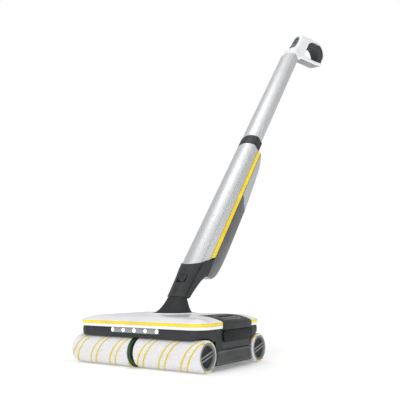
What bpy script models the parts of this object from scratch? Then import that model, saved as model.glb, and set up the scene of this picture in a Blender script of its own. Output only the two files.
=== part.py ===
"""Cordless wet and dry floor scrubber with four rollers, as an assembly of its separate pieces.

Frame: +X to the machine's right, -Y to its front, +Z up, the floor at z = 0. The head is modelled
about its own middle (x = 0, y = 0) and the stick about the lean pivot; one empty then moves both so
that the origin lies under the middle of the whole machine's bounding box. Metres throughout.
"""

import math

import bmesh
import bpy
import numpy as np
from mathutils import Matrix, Vector

GAP = 0.0003  # left between pieces that touch

# Rollers
ROLLER_RADIUS = 0.027
ROLLER_PITCH = 0.172  # between the front and the rear axis
ROLLER_HALF_SPAN = 0.150  # from the middle to the outer end cap
SLEEVE_WALL = 0.004
CORE_WALL = 0.0027
SHAFT_RADIUS = 0.004
SHAFT_CLEARANCE = 0.0005
CAP_DEPTH = 0.005
CAP_RIM = 0.0035

# Gear train between the two roller rows
GEAR_TEETH = 23
PINION_TEETH = 12
IDLER_COUNT = 4
GEARBOX_WIDTH = 0.009
GEARBOX_WALL = 0.0015
TOOTH_PLAY = 0.0006

# Head
HEAD_HALF_WIDTH = 0.150
HEAD_HALF_DEPTH = 0.104
CORNER_RADIUS = 0.031
LIP_HEIGHT = 0.070
CROWN_HEIGHT = 0.0915
COVER_WALL = 0.003
STRIPE_LOW = 0.0752
STRIPE_HEIGHT = 0.0056
PAN_HEIGHT = 0.008
PAN_WALL = 0.002
ARCH_CLEARANCE = 0.0025
BASE_PLATE_THICKNESS = 0.0035
PANEL_WALL = 0.003
PANEL_OUTER_X = 0.1475
SKIRT_HEIGHT = 0.023
BUMPER_WALL = 0.0025
LED_HALF_LENGTH = 0.057
LED_HEIGHT = 0.009

# Dirty water tank, in the right half of the head
TANK_FRONT_Y = -0.040
TANK_REAR_Y = 0.056
TANK_FLOOR_Z = 0.035
TANK_DEPTH = 0.031
TANK_INNER_X = 0.024
TANK_WALL = 0.002
BRIDGE_INNER_X = 0.095
BRIDGE_WALL = 0.003

# Joint between head and stick
PIVOT_Y = -0.002
PIVOT_Z = 0.079
LEAN = math.radians(38.0)
STEER_STATION = 0.028
PIN_RADIUS = 0.003
PIN_CLEARANCE = 0.0003
BOOT_BASE_RADIUS = 0.040
BOOT_WALL = 0.002
BOOT_CENTRE_Y = 0.010

# Stick, measured along it from the lean pivot
NECK_LOW = 0.048
BODY_LOW = 0.135
BODY_HIGH = 0.511
COLLAR_HEIGHT = 0.031
TUBE_HIGH = 0.920
STICK_HALF_WIDTH = 0.025
CREASE_FORWARD = 0.012
FRONT_CROWN = 0.018
BODY_BACK = 0.0175
TUBE_BACK = 0.012
SHELL_WALL = 0.0012
SPINE_THICKNESS = 0.003

# Clean water tank behind the body
CLEAN_TANK_LOW = 0.112
CLEAN_TANK_SPLIT = 0.372
CLEAN_TANK_HIGH = 0.520
CLEAN_TANK_BACK = 0.066
CLEAN_TANK_WALL = 0.002

# Handle
HANDLE_HALF_WIDTH = 0.015
FLARE_HEIGHT = 0.075
GRIP_HALF_WIDTH = 0.013
BUTTON_RADIUS = 0.0052
BUTTON_TRAVEL = 0.0012
BUTTON_DEPTH = 0.0040  # below the face of the control strip
GRIP_WALL = 0.0025
HANDLE_WALL = 0.002

ROUND_STEPS = 24
PIN_STEPS = 12


def clear_scene():
    """Remove whatever the start-up scene holds."""
    for old in list(bpy.data.objects):
        bpy.data.objects.remove(old, do_unlink=True)


def new_collection(name, hidden=False):
    collection = bpy.data.collections.new(name)
    bpy.context.scene.collection.children.link(collection)
    collection.hide_render = hidden
    return collection


clear_scene()
PARTS = new_collection("wet_dry_floor_scrubber")
CUTTERS = new_collection("cutters", hidden=True)


# ---------------------------------------------------------------- materials

FINISHES = {
    # name: (red, green, blue, roughness, metallic)
    "white_abs": (0.84, 0.85, 0.87, 0.3, 0.0),
    "yellow_trim": (1.0, 0.78, 0.0, 0.35, 0.0),
    "dark_abs": (0.06, 0.062, 0.064, 0.45, 0.0),
    "grey_skirt": (0.11, 0.12, 0.12, 0.6, 0.0),
    "silver_aluminium": (0.6, 0.6, 0.61, 0.35, 1.0),
    "silver_paint": (0.55, 0.56, 0.57, 0.4, 0.3),
    "black_rubber": (0.03, 0.03, 0.03, 0.7, 0.0),
    "microfibre": (0.76, 0.75, 0.76, 0.95, 0.0),
    "roller_core": (0.2, 0.2, 0.2, 0.5, 0.0),
    "end_cap": (0.21, 0.22, 0.22, 0.45, 0.0),
    "steel": (0.5, 0.5, 0.5, 0.3, 1.0),
    "gear_acetal": (0.7, 0.7, 0.66, 0.45, 0.0),
    "cast_aluminium": (0.5, 0.5, 0.52, 0.5, 1.0),
    "smoked_tank": (0.15, 0.15, 0.15, 0.2, 0.0),
    "gloss_window": (0.01, 0.01, 0.01, 0.08, 0.0),
    "lens": (0.8, 0.82, 0.85, 0.15, 0.0),
    "circuit_green": (0.02, 0.15, 0.05, 0.5, 0.0),
    "battery_wrap": (0.35, 0.35, 0.37, 0.5, 0.5),
}


def material(name):
    """The Principled material of one finish, made once."""
    found = bpy.data.materials.get(name)
    if found:
        return found
    red, green, blue, roughness, metallic = FINISHES[name]
    made = bpy.data.materials.new(name)
    made.use_nodes = True
    shader = made.node_tree.nodes["Principled BSDF"]
    shader.inputs["Base Color"].default_value = (red, green, blue, 1.0)
    shader.inputs["Roughness"].default_value = roughness
    shader.inputs["Metallic"].default_value = metallic
    return made


# ---------------------------------------------------------------- making pieces


def add_object(name, mesh, finish, parent, cutter=False):
    """Put a mesh in the scene as a part, or as a hidden cutter."""
    piece = bpy.data.objects.new(name, mesh)
    piece.parent = parent
    if cutter:
        CUTTERS.objects.link(piece)
        piece.hide_render = True
        piece.display_type = "WIRE"
        return piece
    PARTS.objects.link(piece)
    mesh.materials.append(material(finish))
    mesh.shade_smooth()
    mesh.set_sharp_from_angle(angle=math.radians(35))
    return piece


def empty(name, parent, location=(0, 0, 0), tilt=0.0):
    """An empty that carries the pieces of one frame; tilt turns it about X."""
    made = bpy.data.objects.new(name, None)
    PARTS.objects.link(made)
    made.parent = parent
    made.location = location
    made.rotation_euler = (tilt, 0, 0)
    return made


def box(name, low, high, finish, parent, cutter=False):
    """A cuboid between two corners."""
    low, high = Vector(low), Vector(high)
    mesh = bpy.data.meshes.new(name)
    shape = bmesh.new()
    place = Matrix.Translation((low + high) / 2) @ Matrix.Diagonal(high - low).to_4x4()
    bmesh.ops.create_cube(shape, size=1.0, matrix=place)
    shape.to_mesh(mesh)
    shape.free()
    return add_object(name, mesh, finish, parent, cutter)


def rod(name, radius, ends, finish, parent, cutter=False, steps=PIN_STEPS):
    """A cylinder between two points."""
    start, stop = Vector(ends[0]), Vector(ends[1])
    turn = (stop - start).to_track_quat("Z", "Y").to_matrix().to_4x4()
    place = Matrix.Translation((start + stop) / 2) @ turn
    mesh = bpy.data.meshes.new(name)
    shape = bmesh.new()
    bmesh.ops.create_cone(shape, cap_ends=True, segments=steps, radius1=radius,
                          radius2=radius, depth=(stop - start).length, matrix=place)
    shape.to_mesh(mesh)
    shape.free()
    return add_object(name, mesh, finish, parent, cutter)


def skin(name, rings, finish, parent, cyclic=False, cutter=False):
    """A loft through rings of equal count; cyclic joins the last ring to the first, else both are capped."""
    mesh = bpy.data.meshes.new(name)
    shape = bmesh.new()
    rows = [[shape.verts.new(point) for point in ring] for ring in rings]
    count = len(rows[0])
    pairs = list(zip(rows, rows[1:]))
    if cyclic:
        pairs.append((rows[-1], rows[0]))
    for lower, upper in pairs:
        for i in range(count):
            j = (i + 1) % count
            shape.faces.new((lower[i], lower[j], upper[j], upper[i]))
    if not cyclic:
        shape.faces.new(rows[0])
        shape.faces.new(rows[-1])
    bmesh.ops.recalc_face_normals(shape, faces=shape.faces)
    shape.to_mesh(mesh)
    shape.free()
    return add_object(name, mesh, finish, parent, cutter)


def flat(name, outlines, depth, finish, parent, across=False, cutter=False):
    """A flat outline (with any holes) given thickness between two heights along local Z.

    With across set, the outline's axes are Y and Z and the thickness runs along X.
    """
    curve = bpy.data.curves.new(name, "CURVE")
    curve.dimensions = "2D"
    curve.fill_mode = "BOTH"
    curve.extrude = (depth[1] - depth[0]) / 2
    for outline in outlines:
        spline = curve.splines.new("POLY")
        spline.points.add(len(outline) - 1)
        for point, (u, v) in zip(spline.points, outline):
            point.co = (u, v, 0, 1)
        spline.use_cyclic_u = True
    guide = bpy.data.objects.new(name, curve)
    bpy.context.scene.collection.objects.link(guide)
    graph = bpy.context.evaluated_depsgraph_get()
    mesh = bpy.data.meshes.new_from_object(guide.evaluated_get(graph))
    bpy.data.objects.remove(guide, do_unlink=True)
    bpy.data.curves.remove(curve)
    mesh.materials.clear()
    place = Matrix.Translation((0, 0, (depth[0] + depth[1]) / 2))
    if across:
        place = Matrix(((0, 0, 1, 0), (1, 0, 0, 0), (0, 1, 0, 0), (0, 0, 0, 1))) @ place
    mesh.transform(place)
    shape = bmesh.new()
    shape.from_mesh(mesh)
    bmesh.ops.remove_doubles(shape, verts=shape.verts, dist=1e-6)
    bmesh.ops.recalc_face_normals(shape, faces=shape.faces)
    shape.to_mesh(mesh)
    shape.free()
    mesh.name = name
    return add_object(name, mesh, finish, parent, cutter)


def prism(name, outline, depth, finish, parent, cutter=False):
    """A side-view outline (back, up) given thickness between two values of X."""
    rings = [[(x, u, v) for u, v in outline] for x in depth]
    return skin(name, rings, finish, parent, cutter=cutter)


def turned(name, profile, finish, parent, side=1, steps=ROUND_STEPS):
    """A turned shape about X: a closed profile of (radius, distance along X), clear of the axis."""
    mesh = bpy.data.meshes.new(name)
    area = sum(a[0] * b[1] - b[0] * a[1] for a, b in zip(profile, profile[1:] + profile[:1]))
    run = profile if area < 0 else profile[::-1]
    points = [(radius, 0, along) for radius, along in run]
    count = len(points)
    mesh.from_pydata(points, [(i, (i + 1) % count) for i in range(count)], [])
    piece = add_object(name, mesh, finish, parent)
    piece.rotation_euler = (0, side * math.pi / 2, 0)
    screw = piece.modifiers.new("turn", "SCREW")
    screw.axis = "Z"
    screw.angle = math.tau
    screw.steps = steps
    screw.render_steps = steps
    screw.use_merge_vertices = True
    screw.merge_threshold = 1e-6
    screw.use_smooth_shade = True
    return piece


def cut(piece, *tools):
    """Take each tool's shape out of the piece."""
    for tool in tools:
        change = piece.modifiers.new("cut", "BOOLEAN")
        change.operation = "DIFFERENCE"
        change.object = tool
    return piece


def join(piece, *tools):
    """Make each tool's shape part of the piece."""
    for tool in tools:
        change = piece.modifiers.new("join", "BOOLEAN")
        change.operation = "UNION"
        change.object = tool
    return piece


# ---------------------------------------------------------------- outlines


def arc(centre, radius, start, stop, steps):
    """Points of an arc in degrees, both ends included."""
    angles = np.radians(np.linspace(start, stop, steps + 1))
    return [(centre[0] + radius * math.cos(a), centre[1] + radius * math.sin(a)) for a in angles]


def hull(points):
    """The convex outline round some points, counter-clockwise."""
    points = sorted(set((round(u, 7), round(v, 7)) for u, v in points))

    def chain(run):
        kept = []
        for p in run:
            while len(kept) > 1:
                (ax, ay), (bx, by) = kept[-2], kept[-1]
                if (bx - ax) * (p[1] - ay) - (by - ay) * (p[0] - ax) > 1e-10:
                    break
                kept.pop()
            kept.append(p)
        return kept[:-1]

    return chain(points) + chain(points[::-1])


def rounded_rectangle(half_width, half_depth, radius, steps=6):
    """A rounded rectangle about the origin, counter-clockwise from its right rear corner."""
    points = []
    for quarter, (sx, sy) in enumerate(((1, 1), (-1, 1), (-1, -1), (1, -1))):
        centre = (sx * (half_width - radius), sy * (half_depth - radius))
        points += arc(centre, radius, 90 * quarter, 90 * quarter + 90, steps)
    return points


def head_outline(inset, steps=5):
    """The head's plan outline, moved inwards; past the corner radius the corners stay barely round."""
    radius = max(CORNER_RADIUS - inset, 0.004)
    return rounded_rectangle(HEAD_HALF_WIDTH - inset, HEAD_HALF_DEPTH - inset, radius, steps)


def head_ring(inset, height):
    return [(x, y, height) for x, y in head_outline(inset)]


def gear_outline(teeth, module, phase):
    """Straight-sided teeth on a pitch circle; phase is the angle of one tooth's middle."""
    pitch_radius = teeth * module / 2
    root, tip = pitch_radius - 1.25 * module, pitch_radius + 0.85 * module
    step = math.tau / teeth
    half_root = 0.31 * step - TOOTH_PLAY / 2 / pitch_radius
    half_tip = 0.11 * step
    points = []
    for i in range(teeth):
        middle = phase + i * step
        for radius, offset in ((root, -half_root), (tip, -half_tip), (tip, half_tip), (root, half_root)):
            points.append((radius * math.cos(middle + offset), radius * math.sin(middle + offset)))
    return points


def moved(outline, centre):
    return [(u + centre[0], v + centre[1]) for u, v in outline]


def mesh_phase(phase, teeth, direction, other_teeth):
    """Phase of the gear met in the given direction, so that its gap faces this gear's tooth."""
    along = (direction - phase) * teeth / math.tau
    return direction + math.pi - (0.5 - along) * math.tau / other_teeth


def smooth_run(points, steps=4):
    """A smooth open run through the points (Catmull-Rom), both ends kept."""
    points = [Vector(p) for p in points]
    padded = [2 * points[0] - points[1], *points, 2 * points[-1] - points[-2]]
    run = []
    for a, b, c, d in zip(padded, padded[1:], padded[2:], padded[3:]):
        for u in np.arange(steps) / steps:
            run.append(0.5 * (2 * b + (c - a) * u + (2 * a - 5 * b + 4 * c - d) * u * u
                              + (3 * b - a - 3 * c + d) * u**3))
    return [tuple(p) for p in run] + [tuple(points[-1])]


def grip_outline():
    """The soft grip in the stick's side plane: under the shell's top, round the rear and onto the bar."""
    base, seam = TUBE_HIGH, 0.0006
    outer = smooth_run([(0.0925 + seam, base + 0.2120), (0.106, base + 0.2165), (0.121, base + 0.2135),
                        (0.1315, base + 0.2035), (0.1348, base + 0.188), (0.1335, base + 0.172),
                        (0.1335, base + 0.1645 + seam)], 3)
    lower_end = [(0.1275, base + 0.1612 + seam), (0.1158, base + 0.1478 + seam)]
    inner = smooth_run([(0.1065, base + 0.1475), (0.1035, base + 0.1580), (0.092, base + 0.1640),
                        (0.076, base + 0.1585), (0.060, base + 0.1435), (0.0455, base + 0.1385)], 3)
    front = [(0.0452, base + 0.1405), (0.0548, base + 0.1650 - seam), (0.0708, base + 0.1842 - seam),
             (0.0868, base + 0.1992 - seam)]
    return outer + lower_end + inner + front


# ---------------------------------------------------------------- frames

FRONT_Y = -(ROLLER_PITCH / 2 + ROLLER_RADIUS)
REAR_Y = PIVOT_Y + max(s * math.sin(LEAN) + t * math.cos(LEAN) for t, s in grip_outline())
FRAME_Y = -(FRONT_Y + REAR_Y) / 2

head = empty("head_frame", None, (0, FRAME_Y, 0))
stick = empty("stick_frame", head, (0, PIVOT_Y, PIVOT_Z), -LEAN)

FRONT_AXIS = (-ROLLER_PITCH / 2, ROLLER_RADIUS)
REAR_AXIS = (ROLLER_PITCH / 2, ROLLER_RADIUS)

# The tray's rear wall stands clear of the arch over the rear rollers.
ARCH_OUTER = ROLLER_RADIUS + ARCH_CLEARANCE + PAN_WALL
TRAY_REAR_Y = ROLLER_PITCH / 2 - math.sqrt(ARCH_OUTER**2 - (TANK_FLOOR_Z - ROLLER_RADIUS) ** 2) - 0.001

# ---------------------------------------------------------------- gear train

CENTRE_STEP = ROLLER_PITCH / (IDLER_COUNT + 1) * 1.003
MODULE = CENTRE_STEP / GEAR_TEETH
END_STEP_Y = (ROLLER_PITCH - (IDLER_COUNT - 1) * CENTRE_STEP) / 2
IDLER_RISE = math.sqrt(CENTRE_STEP**2 - END_STEP_Y**2)
GEAR_TIP = GEAR_TEETH * MODULE / 2 + 0.85 * MODULE
CASE_INNER_RADIUS = GEAR_TIP + 0.0006
CASE_OUTER_RADIUS = CASE_INNER_RADIUS + GEARBOX_WALL
PINION_RADIUS = PINION_TEETH * MODULE / 2
PINION_TIP = PINION_RADIUS + 0.85 * MODULE
HALF_BOX = GEARBOX_WIDTH / 2
GEAR_X = (-HALF_BOX + GEARBOX_WALL + 0.0005, HALF_BOX - GEARBOX_WALL - GAP - 0.0005)

idler_centres = [
    (-ROLLER_PITCH / 2 + END_STEP_Y + i * CENTRE_STEP, ROLLER_RADIUS + IDLER_RISE)
    for i in range(IDLER_COUNT)
]
gear_centres = [FRONT_AXIS, *idler_centres, REAR_AXIS]
gear_phases = [math.pi / 2]
for here, there in zip(gear_centres, gear_centres[1:]):
    heading = math.atan2(there[1] - here[1], there[0] - here[0])
    gear_phases.append(mesh_phase(gear_phases[-1], GEAR_TEETH, heading, GEAR_TEETH))

PINION_HEADING = math.radians(74.0)
drive_idler = idler_centres[1]
pinion_reach = GEAR_TEETH * MODULE / 2 + PINION_RADIUS
PINION_CENTRE = (drive_idler[0] + pinion_reach * math.cos(PINION_HEADING),
                 drive_idler[1] + pinion_reach * math.sin(PINION_HEADING))
PINION_PHASE = mesh_phase(gear_phases[2], GEAR_TEETH, PINION_HEADING, PINION_TEETH)


def case_outline(shrink):
    """The gearbox's outline: taut over the top of its gears, and following their bottoms."""
    radius = CASE_OUTER_RADIUS - shrink
    rise = math.degrees(math.atan2(IDLER_RISE, END_STEP_Y))
    upper = []
    for centre in gear_centres:
        upper += arc(centre, radius, 0, 180, 16)
    pinion_room = PINION_TIP + CASE_OUTER_RADIUS - GEAR_TIP
    upper += arc(PINION_CENTRE, pinion_room - shrink, 0, 180, 16)
    front = arc(FRONT_AXIS, radius, 180, 270 + rise, 9)
    rear = arc(REAR_AXIS, radius, 270 - rise, 360, 9)
    corners = arc(idler_centres[0], radius, 270 + rise / 2, 270, 1)[:1]
    corners += arc(idler_centres[-1], radius, 270 - rise / 2, 270, 1)[:1]
    return front + corners + rear + hull(upper)[2:]


def make_gear_train():
    idler_pin = 0.0026
    case = prism("gearbox_case", case_outline(0), (-HALF_BOX, HALF_BOX - GEARBOX_WALL - GAP),
                 "cast_aluminium", head)
    pocket = prism("gearbox_pocket", case_outline(GEARBOX_WALL),
                   (-HALF_BOX + GEARBOX_WALL, HALF_BOX + 0.002), None, head, cutter=True)
    cover = prism("gearbox_cover", case_outline(0), (HALF_BOX - GEARBOX_WALL, HALF_BOX),
                  "cast_aluminium", head)
    cut(case, pocket)
    for i, (y, z) in enumerate(idler_centres, start=1):
        outline = moved(gear_outline(GEAR_TEETH, MODULE, gear_phases[i]), (y, z))
        bore = arc((y, z), idler_pin + PIN_CLEARANCE, 0, 337.5, 15)
        flat(f"idler_gear_{i}", [outline, bore], GEAR_X, "gear_acetal", head, across=True)
        pin_ends = ((-HALF_BOX + GEARBOX_WALL / 2, y, z), (GEAR_X[1] + 0.0003, y, z))
        join(case, rod(f"idler_pin_{i}", idler_pin, pin_ends, None, head, cutter=True))
    for label, (y, z) in (("front", FRONT_AXIS), ("rear", REAR_AXIS)):
        ends = ((-HALF_BOX - 0.005, y, z), (HALF_BOX + 0.005, y, z))
        hole = rod(f"{label}_shaft_hole", SHAFT_RADIUS + SHAFT_CLEARANCE, ends, None, head, cutter=True)
        cut(case, hole)
        cut(cover, hole)
    y, z = PINION_CENTRE
    shaft = 0.0022
    motor_face = -0.022
    ends = ((-HALF_BOX - 0.005, y, z), (-HALF_BOX + GEARBOX_WALL + 0.0002, y, z))
    cut(case, rod("motor_shaft_hole", shaft + SHAFT_CLEARANCE, ends, None, head, cutter=True))
    pinion = flat("motor_pinion", [moved(gear_outline(PINION_TEETH, MODULE, PINION_PHASE), (y, z))],
                  GEAR_X, "steel", head, across=True)
    ends = ((motor_face + GAP, y, z), (GEAR_X[0] + 0.002, y, z))
    join(pinion, rod("motor_shaft", shaft, ends, None, head, cutter=True))
    motor_radius, motor_length = 0.0175, 0.058
    rod("drive_motor", motor_radius, ((motor_face - motor_length, y, z), (motor_face, y, z)),
        "steel", head, steps=ROUND_STEPS)


# ---------------------------------------------------------------- rollers


def make_roller_row(label, axis, phase):
    """One roller row: a gear shaft through the middle, and a roller with sleeve, core and cap each side."""
    row = empty(f"{label}_roller_axis", head, (0, axis[0], axis[1]))
    sleeve_start = HALF_BOX + 0.0008
    cap_face = ROLLER_HALF_SPAN
    core_outer = ROLLER_RADIUS - SLEEVE_WALL - GAP
    core_inner = core_outer - CORE_WALL
    shaft_end = cap_face - CAP_DEPTH - 0.004
    shaft = rod(f"{label}_drive_shaft", SHAFT_RADIUS, ((-shaft_end, 0, 0), (shaft_end, 0, 0)),
                "steel", row)
    gear = flat(f"{label}_shaft_gear", [gear_outline(GEAR_TEETH, MODULE, phase)], GEAR_X, None,
                row, across=True, cutter=True)
    join(shaft, gear)
    for name, side in (("left", -1), ("right", 1)):
        bore = SHAFT_RADIUS + GAP
        core_end = cap_face - CAP_DEPTH - 0.003
        core = [(bore, sleeve_start), (core_outer, sleeve_start), (core_outer, core_end),
                (core_inner, core_end), (core_inner, sleeve_start + 0.006), (bore, sleeve_start + 0.006)]
        turned(f"{label}_{name}_core", core, "roller_core", row, side)
        inner = ROLLER_RADIUS - SLEEVE_WALL
        soft = 0.0025
        sleeve = [(inner, sleeve_start), (ROLLER_RADIUS - soft, sleeve_start),
                  (ROLLER_RADIUS, sleeve_start + soft), (ROLLER_RADIUS, cap_face - soft),
                  (ROLLER_RADIUS - soft, cap_face - GAP), (inner, cap_face - GAP)]
        turned(f"{label}_{name}_sleeve", sleeve, "microfibre", row, side)
        make_end_cap(f"{label}_{name}_cap", row, side, core_outer, core_inner, cap_face, core_end)


def make_end_cap(name, row, side, outer, inner, face, core_end):
    """The cap that plugs a roller's outer end: a rim, a sunk floor and two ribs across it."""
    back = core_end + GAP
    floor_back = back + 0.0015
    plug = inner - GAP
    cap = rod(name, outer, ((side * back, 0, 0), (side * face, 0, 0)), "end_cap", row, steps=ROUND_STEPS)
    sunk_ends = ((side * (floor_back + 0.0015), 0, 0), (side * (face + 0.01), 0, 0))
    cut(cap, rod(f"{name}_sunk", outer - CAP_RIM, sunk_ends, None, row, cutter=True, steps=ROUND_STEPS))
    plug_ends = ((side * (back - 0.006), 0, 0), (side * (back + 0.001), 0, 0))
    join(cap, rod(f"{name}_plug", plug, plug_ends, None, row, cutter=True, steps=ROUND_STEPS))
    rib_reach, rib_half = outer - CAP_RIM / 2, 0.0016
    rib_top = face - 0.0008
    for sign in (-1, 1):
        low = (side * rib_top, -rib_reach, sign * 0.0034 - rib_half)
        high = (side * (floor_back + 0.0008), rib_reach, sign * 0.0034 + rib_half)
        low, high = [min(a, b) for a, b in zip(low, high)], [max(a, b) for a, b in zip(low, high)]
        rib = box(f"{name}_rib_{sign + 2}", low, high, None, row, cutter=True)
        rib.rotation_euler = (math.radians(32), 0, 0)
        join(cap, rib)
    shaft_room = face - CAP_DEPTH - 0.004 + GAP
    pocket = ((side * (back - 0.02), 0, 0), (side * shaft_room, 0, 0))
    cut(cap, rod(f"{name}_shaft_pocket", SHAFT_RADIUS + GAP, pocket, None, row, cutter=True))


# ---------------------------------------------------------------- head


def arch(axis, radius, start, stop, steps=20):
    return arc(axis, radius, start, stop, steps)


def pan_section():
    """The chassis in side view: an arch over each roller row, joined by the flat floor."""
    inner = ROLLER_RADIUS + ARCH_CLEARANCE
    outer = inner + PAN_WALL
    tip = 110.0
    low = math.degrees(math.asin((PAN_HEIGHT - ROLLER_RADIUS) / inner))
    high = math.degrees(math.asin((PAN_HEIGHT + PAN_WALL - ROLLER_RADIUS) / outer))
    under = arch(FRONT_AXIS, inner, tip, low) + arch(REAR_AXIS, inner, 180 - low, 180 - tip)
    over = arch(REAR_AXIS, outer, 180 - tip, 180 - high) + arch(FRONT_AXIS, outer, high, tip)
    return under + over


def between_rollers(low, high, margin=0.0):
    """The side-view outline of a plate that fills the space between the rollers."""
    inner = ROLLER_RADIUS + ARCH_CLEARANCE + margin
    edge = ROLLER_PITCH / 2 - math.sqrt(inner**2 - 0.013**2)
    left = []
    for height in np.linspace(low, min(high, ROLLER_RADIUS + 0.013), 9):
        left.append((-ROLLER_PITCH / 2 + math.sqrt(inner**2 - (height - ROLLER_RADIUS) ** 2), height))
    if high > ROLLER_RADIUS + 0.013:
        left.append((-edge, high))
    return left + [(-y, z) for y, z in reversed(left)]


def make_chassis():
    side_gap = PANEL_OUTER_X - PANEL_WALL - GAP
    tray = flat("chassis_tray", [pan_section()], (-side_gap, side_gap), "dark_abs", head, across=True)
    trim = skin("plan_trim", [[(x, y, z) for x, y in head_outline(0.0055)] for z in (0, LIP_HEIGHT)],
                None, head, cutter=True)
    keep = tray.modifiers.new("trim", "BOOLEAN")
    keep.operation = "INTERSECT"
    keep.object = trim
    slot = HALF_BOX + 0.0006
    arm_top = ROLLER_RADIUS + ROLLER_RADIUS + ARCH_CLEARANCE - 0.0012
    reach = ROLLER_PITCH / 2 + ROLLER_RADIUS
    inner_end = ROLLER_PITCH / 2 - ROLLER_RADIUS - 0.011
    for label, low, high in (("front", -reach, -inner_end), ("rear", inner_end, reach)):
        arm = box(f"{label}_arm_slot", (-slot, low, 0), (slot, high, arm_top), None, head, cutter=True)
        cut(tray, arm)
    plate_half_y = ROLLER_PITCH / 2 - ROLLER_RADIUS - 0.004
    top = PAN_HEIGHT - GAP
    box("base_plate", (-0.136, -plate_half_y, top - BASE_PLATE_THICKNESS), (0.136, plate_half_y, top),
        "steel", head)
    blade = ROLLER_RADIUS + 0.0005
    for label, axis, angle in (("front", FRONT_AXIS, 76), ("rear", REAR_AXIS, 104)):
        outline = (arc(axis, blade, angle - 4, angle + 4, 2)
                   + arc(axis, ROLLER_RADIUS + ARCH_CLEARANCE - GAP, angle + 4, angle - 4, 2))
        flat(f"{label}_wiper", [outline], (-side_gap + 0.002, side_gap - 0.002), "black_rubber",
             head, across=True)


def make_sides():
    panel_in, panel_out = PANEL_OUTER_X - PANEL_WALL, PANEL_OUTER_X
    panel_low, panel_high = PAN_HEIGHT + 0.0025, LIP_HEIGHT - GAP
    for name, side in (("left", -1), ("right", 1)):
        depth = sorted((side * panel_in, side * panel_out))
        panel = flat(f"{name}_side_panel", [between_rollers(panel_low, panel_high, 0.0003)], depth,
                     "dark_abs", head, across=True)
        depth = sorted((side * (panel_out + GAP), side * (panel_out + 0.0025)))
        flat(f"{name}_skirt", [between_rollers(panel_low, panel_low + SKIRT_HEIGHT, 0.0012)], depth,
             "grey_skirt", head, across=True)
        if side > 0:
            doorway = box("tank_doorway", (panel_in - 0.01, TANK_FRONT_Y - 0.0008, TANK_FLOOR_Z - 0.0008),
                          (panel_out + 0.01, TRAY_REAR_Y + 0.0008, panel_high + 0.01),
                          None, head, cutter=True)
            lintel = box("bridge_doorway", (panel_in - 0.01, 0, TANK_FLOOR_Z + TANK_DEPTH - GAP),
                         (panel_out + 0.01, TANK_REAR_Y + 0.0028, panel_high + 0.01),
                         None, head, cutter=True)
            cut(panel, doorway, lintel)
    battery_top = TANK_FLOOR_Z - 0.002
    box("battery_pack", (TANK_INNER_X, -0.050, PAN_HEIGHT + PAN_WALL + GAP),
        (panel_in - 0.004, 0.050, battery_top), "battery_wrap", head)
    box("control_board", (-0.084, 0.012, 0.060), (-0.024, 0.050, 0.0616), "circuit_green", head)


def make_bumper(name, sign):
    """A band round one end of the head, whose lower edge arches over the rollers' ends."""
    end_y = ROLLER_PITCH / 2 - math.sqrt((ROLLER_RADIUS + ARCH_CLEARANCE) ** 2 - 0.013**2) + 0.0008
    clear = ROLLER_RADIUS + 0.0022

    def run(inset):
        corner = CORNER_RADIUS - inset
        centre_x, centre_y = HEAD_HALF_WIDTH - CORNER_RADIUS, HEAD_HALF_DEPTH - CORNER_RADIUS
        half_x = HEAD_HALF_WIDTH - inset
        side = [(half_x, y) for y in np.linspace(end_y, centre_y, 5)[:-1]]
        side += arc((centre_x, centre_y), corner, 0, 90, 8)
        return side + [(-x, y) for x, y in reversed(side)]

    outer, inner = run(0.0022), run(0.0022 + BUMPER_WALL)
    sections = []
    for (ox, oy), (ix, iy) in zip(outer, inner):
        lift = [ROLLER_RADIUS + math.sqrt(max(clear**2 - (y - ROLLER_PITCH / 2) ** 2, 0)) for y in (oy, iy)]
        low = max(*lift, 0.0495)
        high = LIP_HEIGHT - GAP
        sections.append([(ox, sign * oy, low), (ox, sign * oy, high), (ix, sign * iy, high),
                         (ix, sign * iy, low)])
    return skin(name, sections, "dark_abs", head)


def make_cover():
    """The domed white cover: rings that draw in towards the crown, with a wall under them."""
    rise = CROWN_HEIGHT - LIP_HEIGHT
    groove_low, groove_high, groove_inset = STRIPE_LOW, STRIPE_LOW + STRIPE_HEIGHT, 0.0014
    dome = [(0.0, 0.0), (0.0, 0.53), (0.004, 0.60), (0.011, 0.70), (0.020, 0.81), (0.030, 0.895),
            (0.044, 0.95), (0.060, 0.98), (0.084, 1.0)]
    outer = [head_ring(inset, LIP_HEIGHT + share * rise) for inset, share in dome]
    inner = [head_ring(inset + COVER_WALL, LIP_HEIGHT + share * (rise - COVER_WALL))
             for inset, share in dome]
    groove = [(0.0, groove_low), (groove_inset, groove_low), (groove_inset, groove_high), (0.0, groove_high)]
    outer[1:1] = [head_ring(inset, height) for inset, height in groove]
    cover = skin("top_cover", inner[::-1] + outer, "white_abs", head)
    band = [(-0.0001, groove_low + GAP), (-0.0001, groove_high - GAP),
            (groove_inset - GAP, groove_high - GAP), (groove_inset - GAP, groove_low + GAP)]
    stripe = skin("cover_stripe", [head_ring(i, z) for i, z in band], "yellow_trim", head, cyclic=True)
    notch = box("bridge_notch", (BRIDGE_INNER_X - 0.0008, TANK_FRONT_Y - 0.0008, LIP_HEIGHT - 0.01),
                (HEAD_HALF_WIDTH + 0.01, TANK_REAR_Y + 0.0028, CROWN_HEIGHT + 0.01), None, head, cutter=True)
    hole_ends = ((0, BOOT_CENTRE_Y, LIP_HEIGHT), (0, BOOT_CENTRE_Y, CROWN_HEIGHT + 0.01))
    hole = rod("boot_hole", BOOT_BASE_RADIUS - 0.007, hole_ends, None, head, cutter=True, steps=ROUND_STEPS)
    cut(cover, notch, hole)
    cut(stripe, notch)


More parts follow.
